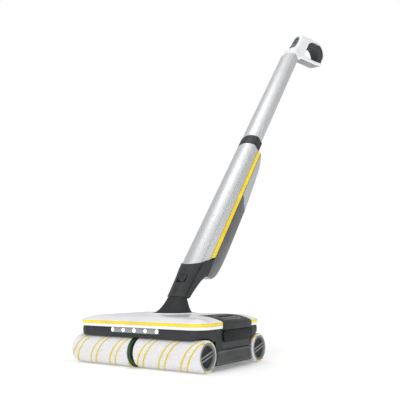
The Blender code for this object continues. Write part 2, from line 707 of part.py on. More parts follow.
def make_light_strip(front_bumper):
    face = HEAD_HALF_DEPTH - 0.0022
    high = LIP_HEIGHT - 0.0005
    low = high - LED_HEIGHT
    opening = box("light_opening", (-LED_HALF_LENGTH - GAP, -face - 0.01, low - GAP),
                  (LED_HALF_LENGTH + GAP, -face + 0.0016, high + 0.01), None, head, cutter=True)
    cut(front_bumper, opening)
    box("led_lens", (-LED_HALF_LENGTH, -face - 0.0004, low), (LED_HALF_LENGTH, -face + 0.0012, high),
        "lens", head)


def make_joint_bracket():
    """Two ears on an A-shaped foot each side of the gearbox, tied by a round bar."""
    pivot = (PIVOT_Y, PIVOT_Z)
    tie = (0.015, 0.0675)
    foot_z = PAN_HEIGHT + PAN_WALL + GAP
    outline = hull(arc(pivot, 0.0085, 0, 348.75, 31) + arc(tie, 0.0035, 0, 330, 11)
                   + [(-0.014, foot_z), (0.020, foot_z)])
    ear_in, ear_out = 0.0145, 0.019
    bracket = flat("joint_bracket", [outline], (ear_in, ear_out), "cast_aluminium", head, across=True)
    far_ear = flat("far_ear", [outline], (-ear_out, -ear_in), None, head, across=True, cutter=True)
    bar_ends = ((-ear_in - 0.002, *tie), (ear_in + 0.002, *tie))
    bar = rod("tie_bar", 0.0028, bar_ends, None, head, cutter=True)
    passage = ((-ear_out - 0.01, *PINION_CENTRE), (-ear_in + 0.01, *PINION_CENTRE))
    cut(far_ear, rod("motor_shaft_passage", 0.0032, passage, None, head, cutter=True))
    join(bar, far_ear)
    join(bracket, bar)
    bore_ends = ((-0.03, *pivot), (0.03, *pivot))
    cut(bracket, rod("axle_bore", PIN_RADIUS + PIN_CLEARANCE, bore_ends, None, head, cutter=True))
    rod("lean_axle", PIN_RADIUS, ((-ear_out, *pivot), (ear_out, *pivot)), "steel", head)
    return ear_in


# ---------------------------------------------------------------- dirty water tank


def make_dirty_tank():
    right = PANEL_OUTER_X
    low = (TANK_INNER_X, TANK_FRONT_Y, TANK_FLOOR_Z)
    high = (right, TRAY_REAR_Y, TANK_FLOOR_Z + TANK_DEPTH)
    tray = box("dirty_tank_tray", low, high, "smoked_tank", head)
    hollow = box("tray_hollow", [v + TANK_WALL for v in low],
                 (right - TANK_WALL, TRAY_REAR_Y - TANK_WALL, high[2] + 0.01), None, head, cutter=True)
    cut(tray, hollow)
    window_low, window_high = TANK_FLOOR_Z + 0.0115, LIP_HEIGHT - 0.0025
    box("dirty_tank_window", (right + GAP, TANK_FRONT_Y + 0.002, window_low),
        (right + 0.0023, TANK_REAR_Y, window_high), "gloss_window", head)
    base = window_high + GAP
    outside = HEAD_HALF_WIDTH - 0.0002
    reach = outside - BRIDGE_INNER_X
    # Inset from the outside and height, down the strap's outer face and its inner face.
    over = [(0.0, base), (0.0, 0.0785), (0.0012, 0.0806), (0.005, 0.0826), (0.011, 0.0846), (0.020, 0.0870),
            (0.030, 0.0888), (0.043, 0.0900), (reach, 0.0905)]
    under = [(BRIDGE_WALL, base), (BRIDGE_WALL, 0.0770), (0.0044, 0.0786), (0.0070, 0.0800), (0.0125, 0.0818),
             (0.0210, 0.0840), (0.0305, 0.0857), (0.043, 0.0869), (reach, 0.0875)]
    path = [(outside - inset, z) for inset, z in over]
    inner = [(outside - inset, z) for inset, z in under]
    front, rear = TANK_FRONT_Y, TANK_REAR_Y + 0.002
    rings = [[(x, y, z) for x, z in path + inner[::-1]] for y in (front, rear)]
    bridge = skin("tank_bridge", rings, "dark_abs", head)
    foot = box("bridge_foot", (right - 0.004, front + 0.002, TANK_FLOOR_Z + TANK_DEPTH + GAP),
               (right, rear - 0.002, base + 0.004), None, head, cutter=True)
    join(bridge, foot)
    opening = rounded_rectangle(0.0085, 0.030, 0.0084, 6)
    centre = (0.1215, (front + rear) / 2)
    finger = flat("finger_opening", [moved(opening, centre)], (0.06, 0.11), None, head, cutter=True)
    cut(bridge, finger)
    latch_outline = rounded_rectangle(0.0030, 0.026, 0.0029, 4)
    latch_centre = (0.1365, centre[1])
    seat = flat("latch_seat", [moved(rounded_rectangle(0.0034, 0.0264, 0.0033, 4), latch_centre)],
                (0.06, 0.11), None, head, cutter=True)
    cut(bridge, seat)
    latch_top = 0.0854
    flat("tank_latch", [moved(latch_outline, latch_centre)], (latch_top - 0.006, latch_top),
         "end_cap", head)


# ---------------------------------------------------------------- joint cross and boot


def make_joint_cross(ear_in):
    """The block between the two hinges: a barrel on the lean axle and a lug round the steer pin."""
    barrel, lug, lug_depth = 0.0070, 0.0065, 0.0050
    half = ear_in - 0.001
    yoke = rod("cross_yoke", barrel, ((-half, 0, 0), (half, 0, 0)), "cast_aluminium", stick,
               steps=ROUND_STEPS)
    post = box("yoke_post", (-lug + 0.0003, -lug_depth + 0.0004, 0.001),
               (lug - 0.0003, lug_depth - 0.0004, STEER_STATION), None, stick, cutter=True)
    eye = rod("yoke_eye", lug, ((0, -lug_depth, STEER_STATION), (0, lug_depth, STEER_STATION)), None,
              stick, cutter=True, steps=24)
    join(yoke, post, eye)
    bore = PIN_RADIUS + PIN_CLEARANCE
    cut(yoke, rod("yoke_axle_bore", bore, ((-0.03, 0, 0), (0.03, 0, 0)), None, stick, cutter=True),
        rod("yoke_pin_bore", bore, ((0, -0.02, STEER_STATION), (0, 0.02, STEER_STATION)), None, stick,
            cutter=True))
    fork_out = lug_depth + 0.0032
    rod("steer_pin", PIN_RADIUS, ((0, -fork_out, STEER_STATION), (0, fork_out, STEER_STATION)),
        "steel", stick)
    return lug_depth, fork_out


def stick_point(x, t, s):
    """A point of the stick's frame (across, back, along) in the head's frame."""
    sin, cos = math.sin(LEAN), math.cos(LEAN)
    return Vector((x, PIVOT_Y + s * sin + t * cos, PIVOT_Z + s * cos - t * sin))


def make_boot():
    """The rubber boot: a round flange on the cover that draws in to the foot of the neck."""
    steps = 24
    angles = np.arange(steps) * math.tau / steps
    top_s = NECK_LOW - 0.0008

    def ring(share, wall):
        radius = BOOT_BASE_RADIUS - wall
        rise = CROWN_HEIGHT + GAP
        points = []
        for a in angles:
            foot = Vector((radius * math.cos(a), BOOT_CENTRE_Y + radius * math.sin(a), rise))
            crown = stick_point((0.0208 - wall) * math.cos(a), -0.0025 + (0.0133 - wall) * math.sin(a), top_s)
            pull = share**0.55
            level = foot.lerp(crown, pull)
            level.z = foot.z + (crown.z - foot.z) * share
            points.append(level)
        return points

    shares = (0.0, 0.05, 0.2, 0.45, 0.72, 1.0)
    outer = [ring(share, 0.0) for share in shares]
    inner = [ring(share, BOOT_WALL) for share in shares]
    skin("joint_boot", outer + inner[::-1], "black_rubber", head, cyclic=True)


# ---------------------------------------------------------------- stick


def stick_section(half_width, back, wall=0.0, corner=0.006):
    """The stick's section (across, back): a crowned front between two creases, flat sides, rounded back."""
    half = half_width - wall
    crease = -CREASE_FORWARD + wall * 0.4
    crown = -FRONT_CROWN + wall
    rear = back - wall
    radius = max(corner - wall, 0.001)
    front = [(half * u, crown + (crease - crown) * u * u) for u in np.linspace(-1, 1, 9)]
    right = [(half, crease * 0.2)]
    right += arc((half - radius, rear - radius), radius, 0, 90, 3)
    left = [(-x, t) for x, t in reversed(right)]
    return front + right + left


def tube_piece(name, section, low, high, wall_section, finish, slant=0.0):
    """A shell open at both ends; slant raises its lower end towards the back."""
    def level(points, s, lean):
        return [(x, t, s + lean * (t + CREASE_FORWARD)) for x, t in points]

    rings = [level(section, low, slant), level(section, high, 0), level(wall_section, high, 0),
             level(wall_section, low, slant)]
    return skin(name, rings, finish, stick, cyclic=True)


BODY_SLANT = 35.0 / 30.0


def make_body():
    body = stick_section(STICK_HALF_WIDTH, BODY_BACK, 0.0, 0.003)
    body_wall = stick_section(STICK_HALF_WIDTH, BODY_BACK, SHELL_WALL, 0.003)
    tube_piece("body_shell", body, BODY_LOW, BODY_HIGH - GAP, body_wall, "silver_aluminium", BODY_SLANT)
    low = BODY_LOW + BODY_SLANT * (BODY_BACK + CREASE_FORWARD) + 0.003
    high = CLEAN_TANK_HIGH - 0.004
    half = STICK_HALF_WIDTH + 0.0002
    middle, reach = (low + high) / 2, (high - low) / 2
    outline = moved(rounded_rectangle(half, reach, 0.012, 4), (0, middle))
    spine = flat("spine_plate", [outline], (-SPINE_THICKNESS, 0), "yellow_trim", stick)
    spine.location = (0, BODY_BACK + GAP, 0)
    spine.rotation_euler = (math.pi / 2, 0, 0)
    collar_high = BODY_HIGH + COLLAR_HEIGHT
    collar = stick_section(STICK_HALF_WIDTH + 0.0004, TUBE_BACK + 0.003, 0.0)
    collar_wall = stick_section(STICK_HALF_WIDTH + 0.0004, TUBE_BACK + 0.003, SHELL_WALL + 0.0012)
    tube_piece("collar", collar, BODY_HIGH, collar_high - GAP, collar_wall, "dark_abs")
    tube = stick_section(STICK_HALF_WIDTH - 0.0006, TUBE_BACK)
    tube_wall = stick_section(STICK_HALF_WIDTH - 0.0006, TUBE_BACK, SHELL_WALL)
    tube_piece("upper_tube", tube, collar_high, TUBE_HIGH - GAP, tube_wall, "silver_aluminium")


def make_neck(lug_depth, fork_out):
    """The neck: slim at its foot, with a seat that swells back under the clean water tank."""
    back = BODY_BACK + SPINE_THICKNESS + GAP - 0.0004
    profile = [(0.0, -0.0015, 0.0115), (0.30, -0.0008, 0.0135), (0.58, 0.0004, 0.0180), (0.76, 0.0012, back),
               (1.0, 0.0016, back)]
    top = BODY_LOW - GAP
    outer, inner = [], []
    wall = 0.0022
    for share, extra, rear in profile:
        s = NECK_LOW + share * (top - NECK_LOW)
        slant = BODY_SLANT * share**3
        for rings, w in ((outer, 0.0), (inner, wall)):
            section = stick_section(STICK_HALF_WIDTH + extra - 0.0002, rear, w)
            rings.append([(x, t, s + slant * (t + CREASE_FORWARD) * 0.96) for x, t in section])
    floor = [(x, t, s + 0.003) for x, t, s in inner[0]]
    neck = skin("neck_housing", [outer[0], *outer[1:], *inner[:0:-1], floor], "dark_abs", stick)
    fork_low, fork_high = STEER_STATION - 0.0065, NECK_LOW + 0.002
    for name, sign in (("front", -1), ("rear", 1)):
        near, far = sorted((sign * (lug_depth + 0.0006), sign * (fork_out - 0.0002)))
        blade = box(f"{name}_fork", (-0.005, near, fork_low + 0.004), (0.005, far, fork_high),
                    None, stick, cutter=True)
        eye = rod(f"{name}_fork_eye", 0.0058, ((0, near + 0.0001, STEER_STATION), (0, far - 0.0001,
                  STEER_STATION)), None, stick, cutter=True, steps=24)
        join(neck, blade, eye)
    bore_ends = ((0, -0.03, STEER_STATION), (0, 0.03, STEER_STATION))
    cut(neck, rod("fork_bore", PIN_RADIUS + PIN_CLEARANCE, bore_ends, None, stick, cutter=True))
    badge_half, badge_s = 0.0085, NECK_LOW + 0.040
    recess = box("badge_recess", (-badge_half - GAP, -0.03, badge_s - badge_half - GAP),
                 (badge_half + GAP, -FRONT_CROWN + 0.0014, badge_s + badge_half + GAP),
                 None, stick, cutter=True)
    cut(neck, recess)
    box("badge_inlay", (-badge_half, -FRONT_CROWN + 0.0001, badge_s - badge_half),
        (badge_half, -FRONT_CROWN + 0.0011, badge_s + badge_half), "black_rubber", stick)


# ---------------------------------------------------------------- clean water tank


def clean_tank_section(share, back, wall=0.0):
    """A section of the clean water tank: wide at the spine plate, drawn in and rounded at the back."""
    start = BODY_BACK + SPINE_THICKNESS + 2 * GAP
    wide, slim = (STICK_HALF_WIDTH - 0.0008) * share - wall, 0.0205 * share - wall
    start += wall
    rear = back - wall
    radius = min(0.011, (rear - start) * 0.6)
    right = [(wide, start), (wide - 0.0006, start + (rear - start) * 0.35)]
    right += arc((slim - radius, rear - radius), radius, 12, 90, 5)
    return right + [(-x, t) for x, t in reversed(right)]


def make_clean_tank():
    """A tub whose foot curves up away from the neck, and a silver cover that rounds off at its top."""
    front = BODY_BACK + SPINE_THICKNESS + 2 * GAP
    low, deep = CLEAN_TANK_LOW, CLEAN_TANK_BACK
    # station at the front, back, and how far the section climbs for each metre back
    shape = [(low, deep - 0.026, 1.0), (low + 0.0015, deep - 0.017, 1.15), (low + 0.006, deep - 0.0095, 1.3),
             (low + 0.016, deep - 0.0055, 1.35), (low + 0.038, deep - 0.002, 1.25), (low + 0.073, deep, 0.8),
             (low + 0.140, deep, 0.2), (CLEAN_TANK_SPLIT - GAP, deep - 0.002, 0.0)]

    def ring(s, back, climb, wall):
        return [(x, t, s + climb * (t - front)) for x, t in clean_tank_section(1.0, back, wall)]

    outer = [ring(*station, 0.0) for station in shape]
    inner = [ring(*station, CLEAN_TANK_WALL) for station in shape[1:]]
    inner_floor = [(x, t, s + CLEAN_TANK_WALL) for x, t, s in inner[0]]
    skin("water_tank", outer + inner[:0:-1] + [inner_floor], "smoked_tank", stick)
    top = CLEAN_TANK_HIGH
    rounding = [(CLEAN_TANK_SPLIT, CLEAN_TANK_BACK - 0.002, 1.0), (top - 0.060, 0.0575, 1.0),
                (top - 0.030, 0.0535, 1.0), (top - 0.014, 0.0485, 0.99), (top - 0.006, 0.0435, 0.965),
                (top - 0.001, 0.0365, 0.92)]
    outer = [[(x, t, s) for x, t in clean_tank_section(share, back)] for s, back, share in rounding]
    inner = [[(x, t, s - (CLEAN_TANK_WALL if i > 3 else 0.0)) for x, t in
              clean_tank_section(share, back, CLEAN_TANK_WALL)]
             for i, (s, back, share) in enumerate(rounding)]
    cover = skin("tank_upper_cover", inner[::-1] + outer, "silver_paint", stick)
    cap_s, cap_radius = CLEAN_TANK_SPLIT + 0.060, 0.011
    neck_ends = ((0, 0.045, cap_s), (0, 0.08, cap_s))
    cut(cover, rod("filler_hole", cap_radius + GAP, neck_ends, None, stick, cutter=True, steps=24))
    cap_out = CLEAN_TANK_BACK - 0.0014
    rod("filler_cap", cap_radius, ((0, 0.0555, cap_s), (0, cap_out, cap_s)), "dark_abs", stick, steps=24)


# ---------------------------------------------------------------- handle


def handle_plate(name, outline, half_width, round_edge, finish):
    """An outline in the stick's side plane (back, along), as a plate across it with rounded edges."""
    piece = flat(name, [outline], (-half_width, half_width), finish, stick, across=True)
    soften = piece.modifiers.new("round_edges", "BEVEL")
    soften.width = round_edge
    soften.segments = 2
    soften.limit_method = "ANGLE"
    soften.angle_limit = math.radians(60)
    soften.use_clamp_overlap = True
    return piece


def make_handle():
    """The loop handle: a white shell with its lower bar, and a dark grip that closes the loop."""
    base = TUBE_HIGH
    top_front = [(-0.0170, base), (-0.0120, base + 0.030), (-0.0065, base + 0.058), (-0.0045, base + 0.085),
                 (-0.0035, base + 0.112), (0.0035, base + 0.128), (0.022, base + 0.147),
                 (0.050, base + 0.175), (0.076, base + 0.200), (0.092, base + 0.2125)]
    outer_line = smooth_run(top_front)
    seam = [(0.086, base + 0.200), (0.070, base + 0.185), (0.054, base + 0.166)]
    hole_front = smooth_run([(0.044, base + 0.140), (0.0435, base + 0.110), (0.0420, base + 0.080),
                             (0.052, base + 0.0805), (0.082, base + 0.1110), (0.116, base + 0.1465)], 2)
    bar_tip = [(0.128, base + 0.160), (0.136, base + 0.163), (0.137, base + 0.156)]
    bar_under = [(0.124, base + 0.136), (0.112, base + 0.121), (0.045, base + 0.0525), (0.024, base + 0.030),
                 (0.0120, base)]
    shell = handle_plate("handle_shell", outer_line + seam + hole_front + bar_tip + bar_under,
                         HANDLE_HALF_WIDTH, 0.004, "white_abs")
    # The shell's foot widens to the width of the tube it stands on.
    spare = (STICK_HALF_WIDTH - 0.0006) / HANDLE_HALF_WIDTH - 1
    for vertex in shell.data.vertices:
        share = max(0.0, 1 - (vertex.co.z - base) / FLARE_HEIGHT)
        vertex.co.x *= 1 + spare * share**1.5
    # Both pieces are hollow: the shell opens into the tube, the grip at the seam the shell covers.
    shell_hollow = [(-0.0135, -0.010), (-0.0088, 0.030), (-0.0045, 0.048), (0.0035, 0.054), (0.0035, 0.115),
                    (0.0075, 0.128), (0.0240, 0.1440), (0.0400, 0.1595), (0.0415, 0.1500), (0.0412, 0.1400),
                    (0.0408, 0.1100), (0.0393, 0.0775), (0.0530, 0.0775), (0.0834, 0.1085),
                    (0.1040, 0.1295), (0.1085, 0.1220), (0.0440, 0.0550), (0.0215, 0.0315),
                    (0.0095, 0.003), (0.0090, -0.010)]
    half = HANDLE_HALF_WIDTH - HANDLE_WALL
    cavity = flat("handle_cavity", [[(t, base + s) for t, s in shell_hollow]], (-half, half), None, stick,
                  across=True, cutter=True)
    cut(shell, cavity)
    grip = handle_plate("handle_grip", grip_outline(), GRIP_HALF_WIDTH, 0.004, "black_rubber")
    grip_hollow = [(0.0610, 0.1790), (0.0550, 0.1705), (0.0590, 0.1660), (0.0600, 0.1480), (0.0745, 0.1612),
                   (0.0920, 0.1670), (0.1060, 0.1600), (0.1100, 0.1515), (0.1145, 0.1525), (0.1270, 0.1665),
                   (0.1308, 0.1750), (0.1320, 0.1870), (0.1290, 0.2020), (0.1200, 0.2106), (0.1060, 0.2136),
                   (0.0965, 0.2095), (0.0885, 0.1974), (0.0725, 0.1822), (0.0670, 0.1750)]
    half = GRIP_HALF_WIDTH - GRIP_WALL
    hollow = flat("grip_cavity", [[(t, base + s) for t, s in grip_hollow]], (-half, half), None, stick,
                  across=True, cutter=True)
    cut(grip, hollow)
    make_controls(shell, base)


def make_controls(shell, base):
    """The dark strip let into the handle's front, with the power and boost buttons in it."""
    strip_low, strip_high = base + 0.058, base + 0.110
    half, thickness = 0.0105, 0.002
    low_t, high_t = -0.0075, -0.0050
    lean = math.atan2(high_t - low_t, strip_high - strip_low)
    panel = empty("control_frame", stick, (0, (low_t + high_t) / 2, (strip_low + strip_high) / 2), -lean)
    reach = (strip_high - strip_low) / 2
    recess = box("strip_recess", (-half - GAP, -0.03, -reach - GAP), (half + GAP, thickness + GAP, reach + GAP),
                 None, panel, cutter=True)
    cut(shell, recess)
    strip = box("control_strip", (-half, 0, -reach), (half, thickness, reach), "end_cap", panel)
    for name, height in (("power_button", -0.008), ("boost_button", 0.010)):
        hole = rod(f"{name}_hole", BUTTON_RADIUS + GAP, ((0, -0.01, height), (0, 0.01, height)), None,
                   panel, cutter=True, steps=20)
        cut(strip, hole)
        floor = BUTTON_DEPTH + BUTTON_TRAVEL + 2 * GAP
        well = rod(f"{name}_well", BUTTON_RADIUS + GAP, ((0, -0.01, height), (0, floor, height)), None,
                   panel, cutter=True, steps=20)
        cut(shell, well)
        rod(name, BUTTON_RADIUS, ((0, -0.0010, height), (0, BUTTON_DEPTH, height)), "black_rubber", panel,
            steps=20)


# ---------------------------------------------------------------- assembly

make_gear_train()
make_roller_row("front", FRONT_AXIS, gear_phases[0])
make_roller_row("rear", REAR_AXIS, gear_phases[-1])
make_chassis()
make_sides()
front_bumper = make_bumper("front_bumper", -1)
make_bumper("rear_bumper", 1)
make_cover()
make_light_strip(front_bumper)
ear_inner_x = make_joint_bracket()
make_dirty_tank()
pin_depths = make_joint_cross(ear_inner_x)
make_boot()
make_neck(*pin_depths)
make_body()
make_clean_tank()
make_handle()
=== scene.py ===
# %% [markdown]
# A cordless floor scrubber: a low head on four fabric rollers, a jointed neck, a long silver stick
# with a water tank on its back, and a loop handle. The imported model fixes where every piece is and
# how it moves. Here each visible piece is made again as a smooth surface with a real finish.

import bmesh
import bpy
import numpy as np
from mathutils import Matrix, Vector


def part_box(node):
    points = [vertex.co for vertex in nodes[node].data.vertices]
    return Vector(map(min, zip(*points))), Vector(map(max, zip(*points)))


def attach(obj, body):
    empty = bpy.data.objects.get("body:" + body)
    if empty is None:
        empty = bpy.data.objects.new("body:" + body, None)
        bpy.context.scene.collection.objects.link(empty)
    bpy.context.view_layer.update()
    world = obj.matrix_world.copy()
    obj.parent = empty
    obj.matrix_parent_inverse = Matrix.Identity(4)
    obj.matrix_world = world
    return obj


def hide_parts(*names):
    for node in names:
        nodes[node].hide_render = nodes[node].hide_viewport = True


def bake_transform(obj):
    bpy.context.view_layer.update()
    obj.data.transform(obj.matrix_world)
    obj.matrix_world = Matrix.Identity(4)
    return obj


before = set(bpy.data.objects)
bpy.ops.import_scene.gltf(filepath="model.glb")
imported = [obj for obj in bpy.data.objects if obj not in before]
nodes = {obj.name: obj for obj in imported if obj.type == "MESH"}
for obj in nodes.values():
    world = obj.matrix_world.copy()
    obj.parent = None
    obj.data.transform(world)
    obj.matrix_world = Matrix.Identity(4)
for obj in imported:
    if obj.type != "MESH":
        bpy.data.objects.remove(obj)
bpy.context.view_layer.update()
scene = bpy.context.scene

# %% [markdown]
# Two local frames make the numbers simple. The head is measured from its own middle. The stick is
# measured across (x), back (t) and along (s) from the lean axle, because it leans 38 degrees.


# %% Places of the head and the stick
def middle(node):
    """The middle of a node's box."""
    low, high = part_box(node)
    return np.array((low + high) / 2)


MID_Y = middle("base_plate")[1]
PIVOT = middle("lean_axle")
LEAN = np.radians(38.0)
SIN, COS = np.sin(LEAN), np.cos(LEAN)
MM = 0.001
print("head middle y %.4f, pivot y %.4f z %.4f" % (MID_Y, PIVOT[1], PIVOT[2]))


def on_head(points):
    """Points (x, y, z) about the head's middle, moved to the frame."""
    return np.asarray(points, float) + (0, MID_Y, 0)


def on_stick(points):
    """Points (x, t, s) turned back by the lean: y = s sin + t cos, z = s cos - t sin, from the axle."""
    x, t, s = np.moveaxis(np.asarray(points, float), -1, 0)
    return np.stack([x, PIVOT[1] + s * SIN + t * COS, PIVOT[2] + s * COS - t * SIN], -1)


# %% [markdown]
# Every surface is a grid of points, worked out as whole arrays. These helpers draw smooth lines
# through a few chosen points, soften corners, and join a grid's neighbours into faces.


# %% Lines and outlines
def arc(centre, radius, start, stop, count):
    """Centre plus radius times (cos, sin), for angles in degrees from start to stop."""
    a = np.radians(np.linspace(start, stop, count + 1))
    return np.stack([centre[0] + radius * np.cos(a), centre[1] + radius * np.sin(a)], -1)


def flowing(points, count=6):
    """Catmull-Rom: each span is the cubic through its two ends, with slopes taken from their neighbours."""
    p = np.asarray(points, float)
    q = np.vstack([2 * p[0] - p[1], p, 2 * p[-1] - p[-2]])
    a, b, c, d = (v[:, None, :] for v in (q[:-3], q[1:-2], q[2:-1], q[3:]))
    u = (np.arange(count) / count)[None, :, None]
    run = 0.5 * (2 * b + (c - a) * u + (2 * a - 5 * b + 4 * c - d) * u**2 + (3 * b - a - 3 * c + d) * u**3)
    return np.vstack([run.reshape(-1, p.shape[1]), p[-1:]])


def spread(outline, step):
    """A closed outline walked at even steps: positions along its length, read back by interpolation."""
    p = np.asarray(outline, float)
    ring = np.vstack([p, p[:1]])
    length = np.concatenate([[0], np.cumsum(np.linalg.norm(np.diff(ring, axis=0), axis=1))])
    at = np.arange(max(int(length[-1] / step), 8)) / max(int(length[-1] / step), 8) * length[-1]
    return np.stack([np.interp(at, length, ring[:, k]) for k in range(p.shape[1])], -1)


def softened(outline, step, passes=4):
    """An evenly walked outline whose points move to (before + 2 here + after) / 4, so its corners round."""
    p = spread(outline, step)
    for _ in range(passes):
        p = (np.roll(p, 1, 0) + 2 * p + np.roll(p, -1, 0)) / 4
    return p


def rounded_rectangle(half_u, half_v, radius, count=12, centre=(0, 0)):
    """Four quarter circles, joined by straight sides, counter-clockwise."""
    corners = [(1, 1, 0), (-1, 1, 90), (-1, -1, 180), (1, -1, 270)]
    runs = [arc((centre[0] + u * (half_u - radius), centre[1] + v * (half_v - radius)), radius, a, a + 90, count)
            for u, v, a in corners]
    return np.vstack(runs)


# %% Faces, normals and finished pieces
MERGE = 2e-6  # points nearer than this, in metres, are one point
SHARP = np.radians(32)  # edges that turn more than this stay sharp


def grid_faces(rows, cols, wrap_rows=False, wrap_cols=True):
    """Corner numbers of each cell: (i, j), (i, j + 1), (i + 1, j + 1), (i + 1, j), with the last joined on."""
    i, j = np.meshgrid(np.arange(rows - (not wrap_rows)), np.arange(cols - (not wrap_cols)), indexing="ij")
    i, j = i.ravel(), j.ravel()
    down, right = (i + 1) % rows, (j + 1) % cols
    return np.stack([i * cols + j, i * cols + right, down * cols + right, down * cols + j], -1)


def placed(name, data):
    """A new object at the origin that holds the data."""
    obj = bpy.data.objects.new(name, data)
    scene.collection.objects.link(obj)
    return obj


def merged(source, data, outwards=True):
    """Writes the source mesh into data with its double points merged and its normals turned outwards."""
    shape = bmesh.new()
    shape.from_mesh(source)
    bmesh.ops.remove_doubles(shape, verts=shape.verts, dist=MERGE)
    if outwards:
        bmesh.ops.recalc_face_normals(shape, faces=shape.faces)
    shape.to_mesh(data)
    shape.free()


def solid(name, grid, loop=False):
    """A closed body from rings: loop joins the last ring to the first, otherwise both ends are faced over."""
    rows, cols = grid.shape[:2]
    faces = grid_faces(rows, cols, wrap_rows=loop).tolist()
    if not loop:
        faces += [list(range(cols)), list(range((rows - 1) * cols, rows * cols))]
    data = bpy.data.meshes.new(name)
    data.from_pydata(grid.reshape(-1, 3).tolist(), [], faces)
    merged(data, data)
    return placed(name, data)


def joined(name, *objects):
    """Several made pieces as one object, which keeps the first one's place in the scene."""
    shape = bmesh.new()
    for obj in objects:
        shape.from_mesh(obj.data)
        if obj is not objects[0]:
            bpy.data.objects.remove(obj)
    shape.to_mesh(objects[0].data)
    shape.free()
    objects[0].name = name
    return objects[0]


def carve(obj, *tools, keep="DIFFERENCE"):
    """Cuts the tools out of the piece, writes the result into its mesh and removes the tools."""
    for tool in tools:
        step = obj.modifiers.new("cut", "BOOLEAN")
        step.operation = keep
        step.object = tool
        bpy.context.view_layer.update()
        cut = bpy.data.meshes.new_from_object(obj.evaluated_get(bpy.context.evaluated_depsgraph_get()))
        obj.modifiers.clear()
        obj.data = cut
        bpy.data.objects.remove(tool)


def smooth(data):
    """Smooth shading, with the sharper edges kept."""
    data.shade_smooth()
    data.set_sharp_from_angle(angle=SHARP)


def finish(obj, body, kind, *stands_for, slot=None, bevel=0.0):
    """Gives a piece its material, smooth shading, the body it rides on and the nodes it stands for."""
    if len(obj.data.materials) == 0:
        obj.data.materials.append(FINISH[kind])
    smooth(obj.data)
    if bevel:
        edge = obj.modifiers.new("edge", "BEVEL")
        edge.width = bevel
        edge.segments = 2
        edge.limit_method = "ANGLE"
        edge.angle_limit = np.radians(50)
        edge.harden_normals = True
    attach(obj, body)
    if stands_for:
        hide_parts(*stands_for)
    print(f"{obj.name}: {len(obj.data.polygons)} faces")


# %% [markdown]
# Many pieces are moulded plates with a rounded rim. The rim's radius may be no larger than the
# circle that fits inside the outline there, so each point gets its own radius.


# %% Plates with rounded rims
def rim_radius(outline, inward, radius):
    """The smallest d.d / (2 d.n) over all other points is the radius of the circle that fits at a point."""
    d = outline[None] - outline[:, None]
    dot = np.einsum("ijk,ik->ij", d, inward)
    fits = np.where(dot > 1e-9, (d**2).sum(-1) / np.maximum(2 * dot, 1e-12), 1.0).min(1)
    fits = np.minimum(radius, 0.8 * fits)
    for _ in range(3):
        fits = np.minimum(fits, (np.roll(fits, 1) + fits + np.roll(fits, -1)) / 3)
    return fits


def plate_grid(outline, low, high, radius, steps=5):
    """Rings (u, v, depth): inset r (1 - sin a), depth low + r (1 - cos a), and the same from the high side."""
    p = np.asarray(outline, float)
    ahead, behind = np.roll(p, -1, 0), np.roll(p, 1, 0)
    if (p[:, 0] * ahead[:, 1] - ahead[:, 0] * p[:, 1]).sum() < 0:
        p, ahead, behind = p[::-1], behind[::-1], ahead[::-1]
    along = ahead - behind
    inward = np.stack([-along[:, 1], along[:, 0]], -1) / (np.linalg.norm(along, axis=1)[:, None] + 1e-12)
    r = rim_radius(p, inward, min(radius, (high - low) / 2))[:, None]
    a = np.linspace(0, np.pi / 2, steps + 1)[:, None, None]
    edge = p[None] + inward[None] * r[None] * (1 - np.sin(a))
    depth = (r[None] * (1 - np.cos(a)))[..., 0]
    first = np.concatenate([edge, (low + depth)[..., None]], -1)
    second = np.concatenate([edge, (high - depth)[..., None]], -1)[::-1]
    return np.concatenate([first, second])


def side_plate(name, outline, low, high, radius, place):
    """A plate whose outline is (back, up) and whose depth runs across the machine."""
    g = plate_grid(outline, low, high, radius)
    return solid(name, place(g[..., [2, 0, 1]]))


def top_plate(name, outline, low, high, radius):
    """A plate on the head whose outline is (across, back) and whose depth runs upwards."""
    return solid(name, on_head(plate_grid(outline, low, high, radius)))


def to_left(ahead):
    """Each direction turned a quarter to its left, (-v, u), and made one long."""
    return np.stack([-ahead[:, 1], ahead[:, 0]], -1) / np.linalg.norm(ahead, axis=1)[:, None]


def turned(line, count=72):
    """A line (depth, radius) carried round its axis: the depth, radius cos a and radius sin a at each angle a."""
    line = np.asarray(line, float)
    a = np.arange(count) * 2 * np.pi / count
    return np.repeat(line[:, :1], count, 1), line[:, 1:2] * np.cos(a), line[:, 1:2] * np.sin(a)


# %% [markdown]
# Colours are sRGB values as seen in soft daylight, and one function turns them to linear. Each
# material starts from its common name and how its surface was made.


# %% Colour and node helpers
def linear(code, alpha=1.0):
    """sRGB to linear: c / 12.92 in the darks, ((c + 0.055) / 1.055) to the 2.4 above."""
    c = np.array([int(code[i:i + 2], 16) for i in (1, 3, 5)]) / 255
    return (*np.where(c <= 0.04045, c / 12.92, ((c + 0.055) / 1.055) ** 2.4), alpha)


def plug(tree, node, links=None, values=None):
    """Sets a node's socket values and joins its incoming links."""
    for key, value in (values or {}).items():
        node.inputs[key].default_value = value
    for key, source in (links or {}).items():
        tree.links.new(source, node.inputs[key])


def add(tree, kind, links=None, values=None, **settings):
    """Adds one shader node with its settings, socket values and incoming links."""
    made = tree.nodes.new(f"ShaderNode{kind}")
    for key, value in settings.items():
        setattr(made, key, value)
    plug(tree, made, links, values)
    return made


def blank(name):
    """A material with its shader, and the Object coordinates in metres."""
    mat = bpy.data.materials.new(name)
    mat.use_nodes = True
    tree = mat.node_tree
    return mat, tree, tree.nodes["Principled BSDF"], add(tree, "TexCoord").outputs["Object"]


